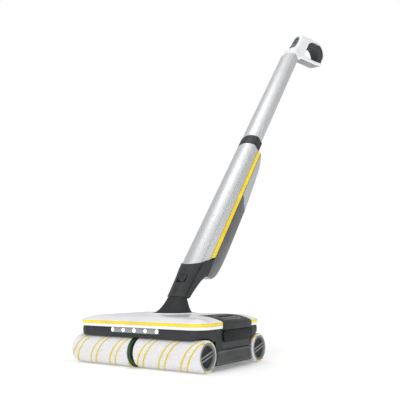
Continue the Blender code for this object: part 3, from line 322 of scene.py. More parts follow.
def tone(tree, where, dark, light, size_mm, detail=3.0):
    """Two close tones of one colour, laid in soft clouds of the given size."""
    noise = add(tree, "TexNoise", {"Vector": where}, {"Scale": 1000 / size_mm, "Detail": detail})
    ramp = add(tree, "ValToRGB", {"Fac": noise.outputs["Fac"]})
    for stop, place, code in zip(ramp.color_ramp.elements, (0.35, 0.65), (dark, light)):
        stop.position = place
        stop.color = linear(code)
    return ramp.outputs["Color"]


def uneven(tree, where, low, high, size_mm):
    """A roughness that wanders between two values, as handling and moulding leave it."""
    noise = add(tree, "TexNoise", {"Vector": where}, {"Scale": 1000 / size_mm, "Detail": 4.0})
    spread_out = add(tree, "MapRange", {"Value": noise.outputs["Fac"]},
                     {"From Min": 0.3, "From Max": 0.7, "To Min": low, "To Max": high})
    return spread_out.outputs["Result"]


def grain(tree, shader, where, size_mm, height_mm, strength):
    """A bump of the given grain size and height on the shader's normal."""
    texture = add(tree, "TexNoise", {"Vector": where}, {"Scale": 1000 / size_mm})
    bump = add(tree, "Bump", {"Height": texture.outputs["Fac"]},
               {"Strength": strength, "Distance": height_mm * MM})
    plug(tree, shader, {"Normal": bump.outputs["Normal"]})


FINISH = {}


def moulded(name, dark, light, rough, grain_mm, height_mm, strength=0.5, coat=0.0, clouds_mm=35):
    """A moulded part: two near tones, uneven roughness and the eroded grain of its tool."""
    mat, tree, shader, where = blank(name)
    plug(tree, shader, {"Base Color": tone(tree, where, dark, light, clouds_mm),
                        "Roughness": uneven(tree, where, rough * 0.88, min(rough * 1.12, 1.0), 12)},
         {"IOR": 1.53, "Coat Weight": coat, "Coat Roughness": 0.08})
    grain(tree, shader, where, grain_mm, height_mm, strength)
    return mat


# %% [markdown]
# ABS is the plastic of most appliance housings. Polished tools give the white cover its gloss, and
# spark-eroded tools give the dark parts a fine even grain that scatters light, so they look softer.

# %% Plastics and rubbers
# Name, darker and lighter tone, roughness, grain and height in mm, strength, coat, size of the clouds in mm.
PLASTICS = {
    # Polished moulds: clear reflections that swim a little.
    "white": ("polished_white_abs", "#EFF0F4", "#F8F8FA", 0.22, 1.4, 0.02, 0.15, 0.45),
    # Spark-eroded moulds: soft, broad highlights on a near black.
    "dark": ("spark_eroded_dark_abs", "#292B2C", "#333536", 0.50, 0.55, 0.05, 0.35),
    # Glossy and even, so that the stripe stays bright.
    "yellow": ("gloss_yellow_abs", "#F3D500", "#FFE400", 0.28, 1.2, 0.02, 0.12, 0.2),
    # Coarser grains: dull, so that ribs and floors show by their shadows.
    "skirt": ("grained_grey_abs", "#4E4F50", "#5B5C5D", 0.62, 0.7, 0.08, 0.45),
    "cap_ring": ("satin_grey_abs", "#77797A", "#8A8C8A", 0.42, 0.6, 0.04, 0.3),
    "cap_floor": ("textured_dark_abs", "#1B1D1F", "#2B2E30", 0.70, 0.9, 0.30, 0.8, 0.0, 3),
    "core": ("grey_polypropylene", "#66686A", "#747678", 0.55, 0.8, 0.05, 0.3),
    # Matt and soft-touch skins: hardly any clear highlight.
    "black": ("matt_black_abs", "#1C1E20", "#2A2C2D", 0.55, 0.5, 0.05, 0.3),
    "control": ("soft_touch_grey_abs", "#5D6061", "#6E7172", 0.58, 0.5, 0.06, 0.5, 0.0, 5),
    "latch": ("satin_grey_catch_abs", "#58595B", "#68696B", 0.40, 0.5, 0.04, 0.3),
    # Rubbers: they scatter nearly all light, so their edges look soft.
    "boot": ("moulded_neoprene", "#222423", "#2C2E2D", 0.66, 0.9, 0.10, 0.45),
    "grip": ("grip_elastomer", "#262829", "#333536", 0.72, 0.45, 0.10, 0.6),
    "wiper": ("black_nitrile", "#191A1A", "#252626", 0.60, 0.8, 0.05, 0.3),
    # Smooth near blacks: dark, with one faint reflection.
    "badge": ("black_badge_abs", "#08090A", "#101112", 0.45, 0.5, 0.03, 0.2),
    "tray": ("dark_smoked_polycarbonate", "#26272A", "#313336", 0.36, 1.8, 0.02, 0.15),
    "window": ("polished_black_styrene", "#08080A", "#0E0E10", 0.28, 2.5, 0.01, 0.1),
    # Smoked clear plastic over a dark inside: a deep grey with a clear gloss.
    "smoked": ("smoked_polycarbonate", "#4C4D4F", "#5B5C5E", 0.30, 1.8, 0.02, 0.15, 0.3),
    # Tinted and turned inner plastics: plain and a little waxy.
    "green": ("green_polypropylene", "#255F22", "#35763A", 0.45, 0.7, 0.04, 0.3),
    "acetal": ("turned_white_acetal", "#D0CEC6", "#DDDBD3", 0.38, 0.5, 0.03, 0.3),
    # A green lacquer over copper: patchy and glossy.
    "board": ("solder_masked_board", "#18502D", "#216339", 0.35, 1.0, 0.02, 0.2, 0.0, 6),
}
for kind, settings in PLASTICS.items():
    FINISH[kind] = moulded(*settings)
# The eroded grain traps part of the mirror light, so the dark parts reflect less than polished ones.
for kind, level in (("window", 0.12), ("badge", 0.10), ("dark", 0.28), ("boot", 0.25), ("tray", 0.3)):
    FINISH[kind].node_tree.nodes["Principled BSDF"].inputs["Specular IOR Level"].default_value = level
print(len(FINISH), "plastics and rubbers")

# %% [markdown]
# Aluminium profiles are bead blasted and anodised, which leaves a fine even sparkle and no grain
# direction. Steel parts are ground, so their scratches run one way. Castings are coarser, and the
# gearbox's casting has a black coating.


# %% Metals
def metal(name, dark, light, rough, grain_mm, height_mm, strength, shine=1.0, stretch=(1, 1, 1)):
    """A metal whose grain is stretched along its working direction."""
    mat, tree, shader, where = blank(name)
    drawn = add(tree, "VectorMath", {0: where}, {1: stretch}, operation="MULTIPLY").outputs["Vector"]
    plug(tree, shader, {"Base Color": tone(tree, drawn, dark, light, 3.0, 5.0),
                        "Roughness": uneven(tree, drawn, rough * 0.85, rough * 1.15, 6)}, {"Metallic": shine})
    grain(tree, shader, drawn, grain_mm, height_mm, strength)
    return mat


# Name, darker and lighter tone, roughness, grain and height in mm, strength, metallic share, stretch of the grain.
METALS = {
    # Blasted and anodised: a fine even sparkle in a broad silver highlight.
    "silver": ("bead_blasted_anodised_aluminium", "#C9CACC", "#D2D3D5", 0.50, 0.45, 0.02, 0.25, 0.7),
    # Flakes in paint: like the metal, but flatter.
    "silver_paint": ("silver_painted_abs", "#B9BABC", "#C6C7C9", 0.42, 0.4, 0.02, 0.2, 0.4),
    # Ground one way: streaked highlights.
    "steel": ("ground_steel", "#9A9B9D", "#B5B6B8", 0.34, 0.8, 0.01, 0.3, 1.0, (0.06, 1, 1)),
    # Cast skins: cloudy and dull.
    "cast": ("die_cast_aluminium", "#8F9093", "#A8A9AC", 0.52, 1.1, 0.08, 0.5),
    "coated": ("coated_aluminium_casting", "#17181A", "#202224", 0.60, 1.1, 0.08, 0.5, 0.3),
    # Shrink-wrapped: a grey that shines in patches.
    "cells": ("wrapped_cells", "#55575B", "#6C6E72", 0.45, 1.5, 0.02, 0.2, 0.5),
}
for kind, settings in METALS.items():
    FINISH[kind] = metal(*settings)

# %% [markdown]
# The rollers wear a sleeve of microfibre plush. Its pile scatters light softly, and pairs of yellow
# guide threads run round it in a helix. The helix is a straight line in the sleeve's own map: one
# coordinate runs along the roller, the other round it, so the line climbs one pitch for each turn.


# %% Microfibre
PAIR_PITCH = 48.0 * MM  # between one pair of threads and the next, along the roller
THREAD_GAP = 13.5 * MM  # between the two threads of a pair
THREAD_WIDTH = 4.0 * MM
TUFT = 1.3  # mm across one tuft of pile, drawn a little coarse so that it shows


def microfibre():
    """Plush with threads where the map's own u, less its whole part, lies within half a thread of 0.5."""
    mat, tree, shader, where = blank("microfibre_plush")
    along = add(tree, "UVMap", uv_map="sleeve")
    parts = add(tree, "SeparateXYZ", {"Vector": along.outputs["UV"]})
    wobble = add(tree, "TexNoise", {"Vector": where}, {"Scale": 260.0, "Detail": 2.0})
    climb = add(tree, "Math", {0: wobble.outputs["Fac"], 2: parts.outputs["X"]}, {1: 0.03},
                operation="MULTIPLY_ADD")
    masks = []
    for shift in (0.0, THREAD_GAP / PAIR_PITCH):
        moved_on = add(tree, "Math", {0: climb.outputs["Value"]}, {1: shift}, operation="SUBTRACT")
        part = add(tree, "Math", {0: moved_on.outputs["Value"]}, operation="FRACT")
        off = add(tree, "Math", {0: part.outputs["Value"]}, {1: 0.5}, operation="SUBTRACT")
        far = add(tree, "Math", {0: off.outputs["Value"]}, operation="ABSOLUTE")
        half = THREAD_WIDTH / PAIR_PITCH / 2
        masks.append(add(tree, "MapRange", {"Value": far.outputs["Value"]},
                         {"From Min": half * 1.25, "From Max": half * 0.75, "To Min": 0.0, "To Max": 1.0}))
    either = add(tree, "Math", {0: masks[0].outputs["Result"], 1: masks[1].outputs["Result"]},
                 operation="MAXIMUM")
    pile = tone(tree, where, "#D3D1D4", "#F0EEF0", TUFT, 5.0)
    thread = tone(tree, where, "#CDBB1E", "#E3D02A", TUFT, 3.0)
    mix = add(tree, "Mix", {"Factor": either.outputs["Value"]}, data_type="RGBA")
    # A colour mix has sockets of every type under the same names, so its own are picked by place.
    plug(tree, mix, {6: pile, 7: thread})
    plug(tree, shader, {"Base Color": mix.outputs[2]},
         {"Roughness": 0.95, "Sheen Weight": 0.35, "Sheen Roughness": 0.6})
    grain(tree, shader, where, TUFT, 0.5, 0.9)
    return mat


FINISH["microfibre"] = microfibre()


def clear_lens():
    """Polycarbonate over a grey tray: glossy, and dull beside the lamps that stand in it."""
    mat, tree, shader, where = blank("clear_polycarbonate_lens")
    plug(tree, shader, {"Base Color": tone(tree, where, "#888D90", "#969B9E", 3.0)},
         {"Roughness": 0.18, "Coat Weight": 0.5})
    return mat


def lamp():
    """A white lamp that gives light of its own."""
    mat, tree, shader, where = blank("white_lamp")
    plug(tree, shader, {"Base Color": tone(tree, where, "#F4F7FF", "#FFFFFF", 2.0)},
         {"Emission Color": linear("#FFFFFF"), "Emission Strength": 2.2})
    return mat


FINISH["lens"] = clear_lens()
FINISH["lamp"] = lamp()
print(len(FINISH), "finishes")

# %% [markdown]
# The white cover is one moulding: straight at its lip, then drawn in and up to a nearly flat crown.
# In plan it is a rounded rectangle. Each ring is that outline moved inwards, and a smooth profile
# says how far in and how high each ring lies. A square groove holds the yellow pinstripe.

# %% Sizes of the head
HEAD_HALF_WIDTH, HEAD_HALF_DEPTH, CORNER = 0.150, 0.104, 0.031
LIP, CROWN = 0.070, 0.0915
STRIPE_LOW, STRIPE_HIGH, GROOVE = 0.0752, 0.0808, 0.0014
BOOT_Y = 0.010
TANK_FRONT, TANK_REAR = -0.040, 0.058
BRIDGE_X = 0.095
ROLLER_RADIUS, ROLLER_Y = 0.027, 0.086
BUMPER_INSET, BUMPER_LOW, BUMPER_WALL = 0.0022, 0.0495, 0.0025
ARCH = ROLLER_RADIUS + 0.0025  # the head keeps this far from a roller's axis
SIDES = (("left", -1), ("right", 1))


def head_ring(inset, height):
    """The rounded rectangle of the head at one inset and height."""
    radius = max(CORNER - inset, 0.004)
    ring = rounded_rectangle(HEAD_HALF_WIDTH - inset, HEAD_HALF_DEPTH - inset, radius, 14)
    return np.column_stack([ring, np.full(len(ring), height)])


def prism(outline, low, high):
    """An outline (x, y) raised from one height to the other, to cut with."""
    return solid("tool", on_head(np.stack([np.column_stack([outline, np.full(len(outline), z)])
                                           for z in (low, high)])))


def box_tool(low, high):
    """A plain box to cut with."""
    (x0, y0, z0), (x1, y1, z1) = low, high
    return prism(np.array([(x0, y0), (x1, y0), (x1, y1), (x0, y1)]), z0, z1)


def bridge_notch():
    """The room that the dirty tank's strap needs in the cover."""
    return box_tool((BRIDGE_X - 0.0008, TANK_FRONT - 0.0008, LIP - 0.01), (0.16, TANK_REAR + 0.0008, 0.11))


# %% The white cover
profile = flowing([(0.0, 0.0814), (0.004, 0.0829), (0.011, 0.0850), (0.020, 0.0874), (0.030, 0.0892),
                   (0.044, 0.0904), (0.060, 0.0911), (0.084, CROWN)], 7)
lip = [(0.0012, LIP), (0.0003, LIP + 0.0004), (0.0, LIP + 0.0012), (0.0, STRIPE_LOW), (GROOVE, STRIPE_LOW),
       (GROOVE, STRIPE_HIGH), (0.0, STRIPE_HIGH)]
outer = [head_ring(inset, z) for inset, z in [*lip, *profile]]
COVER_WALL, BOOT_HOLE = 0.003, 0.033
under = [head_ring(max(inset, 0.0) + COVER_WALL, z - COVER_WALL) for inset, z in profile[::6]]
inside_lip = [head_ring(COVER_WALL, LIP)]
cover = solid("top_cover_shell", on_head(np.array(under[::-1] + inside_lip + outer)))
carve(cover, bridge_notch(), prism(arc((0, BOOT_Y), BOOT_HOLE, 0, 360, 47)[:-1], LIP, 0.11))
finish(cover, "head", "white", "top_cover")

# %% The yellow pinstripe, a slightly proud band
band = [(GROOVE - 0.0003, STRIPE_LOW + 0.0003), (0.0001, STRIPE_LOW + 0.0003), (-0.0002, STRIPE_LOW + 0.0009),
        (-0.0002, STRIPE_HIGH - 0.0009), (0.0001, STRIPE_HIGH - 0.0003), (GROOVE - 0.0003, STRIPE_HIGH - 0.0003)]
stripe = solid("cover_pinstripe", on_head(np.array([head_ring(i, z) for i, z in band])), loop=True)
carve(stripe, bridge_notch())
finish(stripe, "head", "yellow", "cover_stripe")

# %% [markdown]
# Round the joint the cover carries a low oval collar that the rubber boot sits in.

# %% Boot collar on the cover
collar_rows = [(0.0375, CROWN - 0.0006), (0.0375, CROWN + 0.0001), (0.0395, CROWN + 0.0012), (0.0425, CROWN + 0.0013),
               (0.0465, CROWN + 0.0003), (0.0490, CROWN - 0.0018)]
turn = np.linspace(0, 2 * np.pi, 97)[:-1]
rings = [np.stack([1.06 * r * np.cos(turn), BOOT_Y + r * np.sin(turn), np.full(96, z)], -1)
         for r, z in flowing(collar_rows, 3)]
finish(solid("boot_collar", on_head(np.array(rings)), loop=True), "head", "white")

# %% [markdown]
# Each bumper is a band round one end of the head. Its lower edge stays level across the front and
# arches over the ends of the rollers, so that the fabric has the same gap everywhere.


# %% Bumpers
def bumper(name, sign):
    """A band along half the head's outline. Its low edge is the higher of 49.5 mm and the circle round the roller."""
    clear = ROLLER_RADIUS + 0.0022
    end_y = ROLLER_Y - np.sqrt(ARCH**2 - 0.013**2) + 0.0008
    half_x, corner_y = HEAD_HALF_WIDTH - BUMPER_INSET, HEAD_HALF_DEPTH - CORNER
    side = np.column_stack([np.full(18, half_x), np.linspace(end_y, corner_y, 19)[:-1]])
    corner = arc((HEAD_HALF_WIDTH - CORNER, corner_y), CORNER - BUMPER_INSET, 0, 90, 18)
    right = np.vstack([side, corner])
    path = np.vstack([right, right[::-1] * (-1, 1)])
    inward = to_left(np.gradient(path, axis=0))

    def low_edge(y):
        """z = r + sqrt(clear squared - (y - roller y) squared), or the level edge where that is lower."""
        return np.maximum(ROLLER_RADIUS + np.sqrt(np.maximum(clear**2 - (y - ROLLER_Y) ** 2, 0)), BUMPER_LOW)

    low = np.maximum(low_edge(path[:, 1]), low_edge((path + BUMPER_WALL * inward)[:, 1]))
    high = LIP - 0.0003
    rows = []
    for inset, share in ((BUMPER_WALL, 0), (0.0006, 0), (0.0, 0.03), (-0.0006, 0.35), (-0.0006, 0.65), (0.0004, 1),
                         (BUMPER_WALL, 1)):
        p = path + inset * inward
        rows.append(np.column_stack([p[:, 0], sign * p[:, 1], low + share * (high - low)]))
    rows = np.array(rows).transpose(1, 0, 2)
    return solid(name, on_head(rows))


front_face = HEAD_HALF_DEPTH - BUMPER_INSET
LED_HALF, LED_LOW, LED_HIGH = 0.057, 0.0605, 0.0695
front = bumper("front_bumper_band", -1)
carve(front, box_tool((-LED_HALF - 0.0003, -front_face - 0.01, LED_LOW - 0.0003),
                      (LED_HALF + 0.0003, -front_face + 0.0016, 0.08)))
finish(front, "head", "dark", "front_bumper")
finish(bumper("rear_bumper_band", 1), "head", "dark", "rear_bumper")

# %% The lamp strip: a clear lens with five lamps behind it
lens_outline = rounded_rectangle(LED_HALF, (LED_HIGH - LED_LOW) / 2, 0.0016, 6, (0, (LED_HIGH + LED_LOW) / 2))
g = plate_grid(spread(lens_outline, 0.0012), -front_face - 0.0006, -front_face + 0.0012, 0.0008, 3)
finish(solid("lamp_lens", on_head(g[..., [0, 2, 1]])), "head", "lens", "led_lens")
LAMP_PITCH, LAMP_RADIUS, LAMP_Z = 0.0262, 0.0033, 0.0652
dome = np.linspace(0, 1, 6)
out, u, v = turned(np.column_stack([front_face + 0.0003 + 0.0011 * dome,
                                    LAMP_RADIUS * np.sqrt(1 - (0.92 * dome) ** 2)]), 24)
lamps = [solid("lamp", on_head(np.stack([k * LAMP_PITCH + u, -out, LAMP_Z + v], -1))) for k in range(-2, 3)]
finish(joined("lamp_row", *lamps), "head", "lamp")

# %% [markdown]
# Plain plates close the head's sides between the rollers. Their ends follow the rollers' arches.


# %% Side panels and skirts
def between_rollers(low, high, margin):
    """The outline between the arches: y = -86 mm + sqrt(r r - (z - 27 mm) squared) on the left, mirrored."""
    inner = ARCH + margin
    z = np.linspace(low, min(high, ROLLER_RADIUS + 0.013), 25)
    left = np.column_stack([-ROLLER_Y + np.sqrt(inner**2 - (z - ROLLER_RADIUS) ** 2), z])
    if high > ROLLER_RADIUS + 0.013:
        left = np.vstack([left, [left[-1, 0], high]])
    return np.vstack([left, left[::-1] * (-1, 1)])


PANEL_IN, PANEL_OUT, PANEL_LOW = 0.1445, 0.1475, 0.0105
RIB_PITCH, RIB_REACH = 0.0035, 0.0525


def side_slab(name, side, outline, near, far, radius):
    """A plate on one side of the head, from x = near to x = far, mirrored for the left."""
    return side_plate(name, outline, *sorted((side * near, side * far)), radius, on_head)


for label, side in SIDES:
    panel = side_slab(f"{label}_panel", side, softened(between_rollers(PANEL_LOW, LIP - 0.0003, 0.0003), 0.0012, 3),
                      PANEL_IN, PANEL_OUT, 0.0008)
    if side > 0:
        carve(panel, box_tool((0.13, TANK_FRONT - 0.0008, 0.0342), (0.16, 0.0576, 0.08)))
    finish(panel, "head", "dark", f"{label}_side_panel")
    base = side_slab("base", side, softened(between_rollers(PANEL_LOW, PANEL_LOW + 0.023, 0.0012), 0.0012, 3),
                     PANEL_OUT + 0.0003, PANEL_OUT + 0.0013, 0.0004)
    rim = side_slab("rim", side, softened(rounded_rectangle(0.0575, 0.0012, 0.0011, 5, (0, 0.0318)), 0.0012, 1),
                    PANEL_OUT + 0.0010, PANEL_OUT + 0.0025, 0.0006)
    ribs = [side_slab("rib", side, spread(rounded_rectangle(0.0010, 0.0080, 0.0009, 4, (y, 0.0208)), 0.0012),
                      PANEL_OUT + 0.0010, PANEL_OUT + 0.0023, 0.0007)
            for y in np.arange(-RIB_REACH, RIB_REACH + 0.0001, RIB_PITCH)]
    finish(joined(f"{label}_ribbed_skirt", base, rim, *ribs), "head", "skirt", f"{label}_skirt")

# %% [markdown]
# The dirty water tank slides out to the right. A dark strap runs from its window up over the cover,
# with a slot for the fingers and a catch bar beside it.

# %% Dirty water tank
OUTSIDE, STRAP = 0.1498, 0.003
WINDOW_LOW, WINDOW_HIGH = 0.0465, 0.0675
outline = rounded_rectangle(0.047, (WINDOW_HIGH - WINDOW_LOW) / 2, 0.0075, 8, (0.009, (WINDOW_HIGH + WINDOW_LOW) / 2))
finish(side_slab("tank_window", 1, spread(outline, 0.0012), PANEL_OUT + 0.0003, PANEL_OUT + 0.0023, 0.0010),
       "dirty_tank", "window", "dirty_tank_window")
over = flowing([(OUTSIDE - inset, z) for inset, z in (
    (0, 0.0678), (0, 0.0785), (0.0012, 0.0806), (0.005, 0.0826), (0.011, 0.0846), (0.020, 0.0870), (0.030, 0.0888),
    (0.043, 0.0900), (0.0548, 0.0905))], 6)
beneath = flowing([(OUTSIDE - inset, z) for inset, z in (
    (STRAP, 0.0678), (STRAP, 0.0770), (0.0044, 0.0786), (0.0070, 0.0800), (0.0125, 0.0818), (0.0210, 0.0840),
    (0.0305, 0.0857), (0.043, 0.0869), (0.0548, 0.0875))], 6)
g = plate_grid(spread(np.vstack([over, beneath[::-1]]), 0.0011), TANK_FRONT, TANK_REAR, 0.0010, 3)
strap = solid("tank_strap", on_head(g[..., [0, 2, 1]]))
foot = box_tool((0.1436, TANK_FRONT + 0.002, 0.0663), (0.1474, TANK_REAR - 0.002, 0.0715))
carve(strap, foot, keep="UNION")
MIDDLE_Y, SLOT_X, CATCH_X = (TANK_FRONT + TANK_REAR) / 2, 0.1215, 0.1365
slot_tool = top_plate("tool", rounded_rectangle(0.0072, 0.030, 0.0071, 12, (SLOT_X, MIDDLE_Y)), 0.06, 0.11, 0.0001)
seat_tool = top_plate("tool", rounded_rectangle(0.0034, 0.0264, 0.0033, 8, (CATCH_X, MIDDLE_Y)), 0.06, 0.11, 0.0001)
carve(strap, slot_tool, seat_tool)
finish(strap, "dirty_tank", "dark", "tank_bridge")
BEAD = 0.0008


def slot_rim(name, half_u, half_v, x):
    """A round bead, 1.6 mm thick, carried round a slot at the height of the strap's own profile."""
    path = spread(rounded_rectangle(half_u, half_v, half_u - 0.0001, 12, (x, MIDDLE_Y)), 0.0012)
    way = to_left(np.roll(path, -1, 0) - np.roll(path, 1, 0))
    a = np.linspace(0, 2 * np.pi, 9)[:-1]
    side = path[:, None] - BEAD * np.cos(a)[None, :, None] * way[:, None]
    top = np.interp(side[..., 0], over[::-1, 0], over[::-1, 1]) + BEAD * np.sin(a)
    rim = solid(name, on_head(np.concatenate([side, top[..., None]], -1)), loop=True)
    finish(rim, "dirty_tank", "cap_ring", slot="dark_abs")


slot_rim("finger_slot_rim", 0.0078, 0.0306, SLOT_X)
slot_rim("catch_rim", 0.0040, 0.0270, CATCH_X)
latch_grid = rounded_rectangle(0.0030, 0.026, 0.0029, 8, (CATCH_X, MIDDLE_Y))
finish(top_plate("catch_bar", spread(latch_grid, 0.0008), 0.0794, 0.0852, 0.0012), "dirty_tank_catch", "latch",
       "tank_latch")

# %% [markdown]
# A sleeve is a cylinder whose pile stands a little uneven: the radius gets a few tenths of a
# millimetre of waves, the same at both ends of the turn. Its ends are rounded where the pile falls.


# %% Fabric sleeves
def sleeve(name, row, side, y):
    """Radius = 27 mm + 0.07 mm times the sum of four sines of the turn and of x, less 0.2 mm, in round ends."""
    start, end, inner, soft = 0.0053, 0.1497, ROLLER_RADIUS - 0.004, 0.0030
    bend = np.linspace(0, np.pi / 2, 7)
    body_x = np.linspace(start + soft, end - soft, 150)[1:-1]
    drawn_in, fallen = soft * (1 - np.sin(bend)), ROLLER_RADIUS - soft * (1 - np.cos(bend))
    x = np.concatenate([[start], (start + drawn_in)[::-1], body_x, end - drawn_in, [end]])
    r = np.concatenate([[inner], fallen[::-1], np.full(len(body_x), ROLLER_RADIUS), fallen, [inner]])
    xs, an = np.meshgrid(x, np.linspace(0, 1, 145) * 2 * np.pi, indexing="ij")
    seed = {"front": 0.0, "rear": 2.1}[row] + side
    pile = sum(np.sin(k * an + xs * f + seed * k) for k, f in ((7, 900), (13, -1300), (22, 2100), (31, -700)))
    radius = r[:, None] + 0.00007 * pile * (r[:, None] > inner) - 0.0002
    points = np.stack([side * xs, y - radius * np.cos(an), ROLLER_RADIUS + radius * np.sin(an)], -1)
    rows, cols = points.shape[:2]
    faces = grid_faces(rows, cols, wrap_cols=False)
    inside = np.stack([np.arange(cols - 1), np.arange(1, cols), (rows - 1) * cols + np.arange(1, cols),
                       (rows - 1) * cols + np.arange(cols - 1)], -1)[:, ::-1]
    faces = np.vstack([faces, inside])
    if side < 0:
        faces = faces[:, ::-1]
    climb = (side * xs / PAIR_PITCH - 2 * an / (2 * np.pi) + 0.30 * (side - 1)).ravel()
    around = (an / (2 * np.pi)).ravel()
    data = bpy.data.meshes.new(name)
    data.from_pydata(on_head(points).reshape(-1, 3).tolist(), [], faces.tolist())
    own = data.uv_layers.new(name="sleeve")
    own.data.foreach_set("uv", np.stack([climb[faces], around[faces]], -1).ravel())
    merged(data, data)
    finish(placed(f"{name}_plush", data), f"{row}_rollers", "microfibre", f"{name}_sleeve")


# %% [markdown]
# The end caps are turned discs: a rounded ring, a sunk textured floor, and two ribs across it.


# %% End caps
def roller_disc(name, line, y, side):
    """A line (distance along x, radius) carried round the roller's axis."""
    x, u, v = turned(line)
    return solid(name, on_head(np.stack([side * x, y + u, ROLLER_RADIUS + v], -1)))


CAP_RADIUS, CAP_FACE, CAP_FLOOR = 0.0225, 0.1500, 0.1456
RIB_TURN = np.radians(16)


def end_cap(name, row, side, y):
    """The turned disc with its two ribs, which are plates turned 16 degrees about the roller's axis."""
    line = [(0.1363, 0.0002), (0.1363, 0.0193), (0.1420, 0.0193), (0.1421, CAP_RADIUS), (0.1490, CAP_RADIUS),
            (0.1497, CAP_RADIUS - 0.0003), (CAP_FACE, CAP_RADIUS - 0.0010), (CAP_FACE, CAP_RADIUS - 0.0026),
            (0.1497, CAP_RADIUS - 0.0032), (0.1490, CAP_RADIUS - 0.0035), (CAP_FLOOR, CAP_RADIUS - 0.0040),
            (CAP_FLOOR, 0.0002)]
    cap = roller_disc(name, line, y, side)
    cap.data.materials.append(FINISH["cap_ring"])
    cap.data.materials.append(FINISH["cap_floor"])
    centres = np.array([p.center for p in cap.data.polygons])
    flat = (np.abs(np.abs(centres[:, 0]) - CAP_FLOOR) < 1e-4).astype(int)
    cap.data.polygons.foreach_set("material_index", flat)
    ribs = []
    for shift in (-0.0028, 0.0028):
        outline = spread(rounded_rectangle(CAP_RADIUS - 0.0030, 0.0013, 0.0006, 3, (0, shift)), 0.001)
        low, high = sorted((side * (CAP_FLOOR - 0.0005), side * (CAP_FACE - 0.0010)))
        g = plate_grid(outline, low, high, 0.0005, 2)
        u, v = g[..., 0], g[..., 1]
        ribs.append(solid("rib", on_head(np.stack(
            [g[..., 2], y + u * np.cos(RIB_TURN) - v * np.sin(RIB_TURN),
             ROLLER_RADIUS + u * np.sin(RIB_TURN) + v * np.cos(RIB_TURN)], -1))))
    finish(joined(f"{name}_end_cap", cap, *ribs), f"{row}_rollers", "cap_ring", f"{name}_cap")


for row, y in (("front", -ROLLER_Y), ("rear", ROLLER_Y)):
    for label, side in SIDES:
        sleeve(f"{row}_{label}", row, side, y)
        end_cap(f"{row}_{label}", row, side, y)
    ring = [(0.0056, 0.020), (0.0050, 0.0262), (0.0054, 0.0272), (0.0066, 0.0272), (0.0070, 0.0262), (0.0066, 0.020)]
    finish(roller_disc(f"{row}_left_inner_ring", ring, y, -1), f"{row}_rollers", "green")

# %% [markdown]
# On the machine the rubber boot bends with both hinges of the joint. Here it is made in two halves, the
# lower one between the head and the cross, the upper one between the cross and the stick; neither is attached to a
# body.

# %% Rubber boot
NECK_LOW, FOOT_SLANT, BOOT_WALL = 0.048, 0.5, 0.0012
turns = np.linspace(0, 2 * np.pi, 73)[:-1]


def boot_ring(share, wall=0.0):
    """A ring from the flange on the cover (share 0) to the foot of the neck (share 1), along a flared line."""
    radius = 0.040 - wall
    foot = on_head(np.stack([radius * np.cos(turns), BOOT_Y + radius * np.sin(turns),
                             np.full(72, CROWN + 0.0003)], -1))
    t = -0.0042 + (0.0125 - wall) * np.sin(turns)
    crown = on_stick(np.stack([(0.0208 - wall) * np.cos(turns), t, NECK_LOW - 0.0008 + FOOT_SLANT * (t + 0.012)], -1))
    level = foot + (crown - foot) * share**0.55
    level[:, 2] = foot[:, 2] + (crown[:, 2] - foot[:, 2]) * share
    return level


def boot_half(name, low, high):
    """A skin between two shares of the line: its outer rings up, then its inner rings down."""
    shares = np.linspace(low, high, 14)
    rings = [boot_ring(s) for s in shares] + [boot_ring(s, BOOT_WALL) for s in shares[::-1]]
    obj = solid(name, np.array(rings), loop=True)
    obj.data.materials.append(FINISH["boot"])
    smooth(obj.data)
    return obj


SPLIT = 0.5
low_half = boot_half("boot_lower", 0.0, SPLIT)
high_half = boot_half("boot_upper", SPLIT, 1.0)
foot_at, split_at, crown_at = (boot_ring(s).mean(0) for s in (0.0, SPLIT, 1.0))
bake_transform(low_half)
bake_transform(high_half)
for half in (low_half, high_half):
    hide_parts("joint_boot")

# %% [markdown]
# The stick is a row of tubes with one section: a crowned front between two creases, flat sides and
# a rounded back. Each piece carries that section along the stick, with a soft edge at each end.

# %% Section of the stick
HALF, CREASE, FRONT_CROWN = 0.025, 0.009, 0.018
BODY_LOW, BODY_HIGH, TUBE_LOW, TUBE_HIGH = 0.135, 0.511, 0.542, 0.920
TUBE_BACK, SPINE_FRONT, SPINE_REAR = 0.0145, 0.0135, 0.0245
SLANT = 35.0 / 30.0


def section(half, back, corner=0.006):
    """Front: t = -18 mm + 9 mm (x / half) squared. Then in at the crease, down the flat side and round the back."""
    u = np.linspace(-1, 1, 33)[:, None]
    front = np.hstack([(half - 0.0010) * u, -FRONT_CROWN + (FRONT_CROWN - CREASE) * u**2])
    bend = np.array([(half - 0.0019, -CREASE + 0.0006), (half - 0.0019, -CREASE + 0.0014),
                     (half - 0.0002, -CREASE + 0.0018)])
    flank = np.column_stack([np.full(7, half), np.linspace(-CREASE * 0.7, back - corner - 0.001, 7)])
    right = np.vstack([bend, flank, arc((half - corner, back - corner), corner, 0, 90, 8)])
    return np.vstack([front, right, right[::-1] * (-1, 1)])


def stick_tube(name, shape, low, high, kind, node, slant, ease):
    """The section from low to high, drawn in by a quarter circle of radius ease at both ends."""
    a = np.linspace(0, np.pi / 2, 4)
    s = np.concatenate([low + ease * (1 - np.sin(a[::-1])), high - ease * (1 - np.sin(a))])
    inset = ease * np.concatenate([1 - np.cos(a[::-1]), 1 - np.cos(a)])
    s, inset = np.sort(s), np.concatenate([np.sort(inset[:4])[::-1], np.sort(inset[4:])])
    rows = []
    middle_t = shape[:, 1].mean()
    for k, (at, draw) in enumerate(zip(s, inset)):
        shrink = 1 - draw / HALF
        x = shape[:, 0] * shrink
        t = middle_t + (shape[:, 1] - middle_t) * shrink
        lean = slant * (k < 4) * (t + CREASE)
        rows.append(np.stack([x, t, at + lean], -1))
    finish(solid(name, on_stick(np.array(rows))), "stick", kind, node)


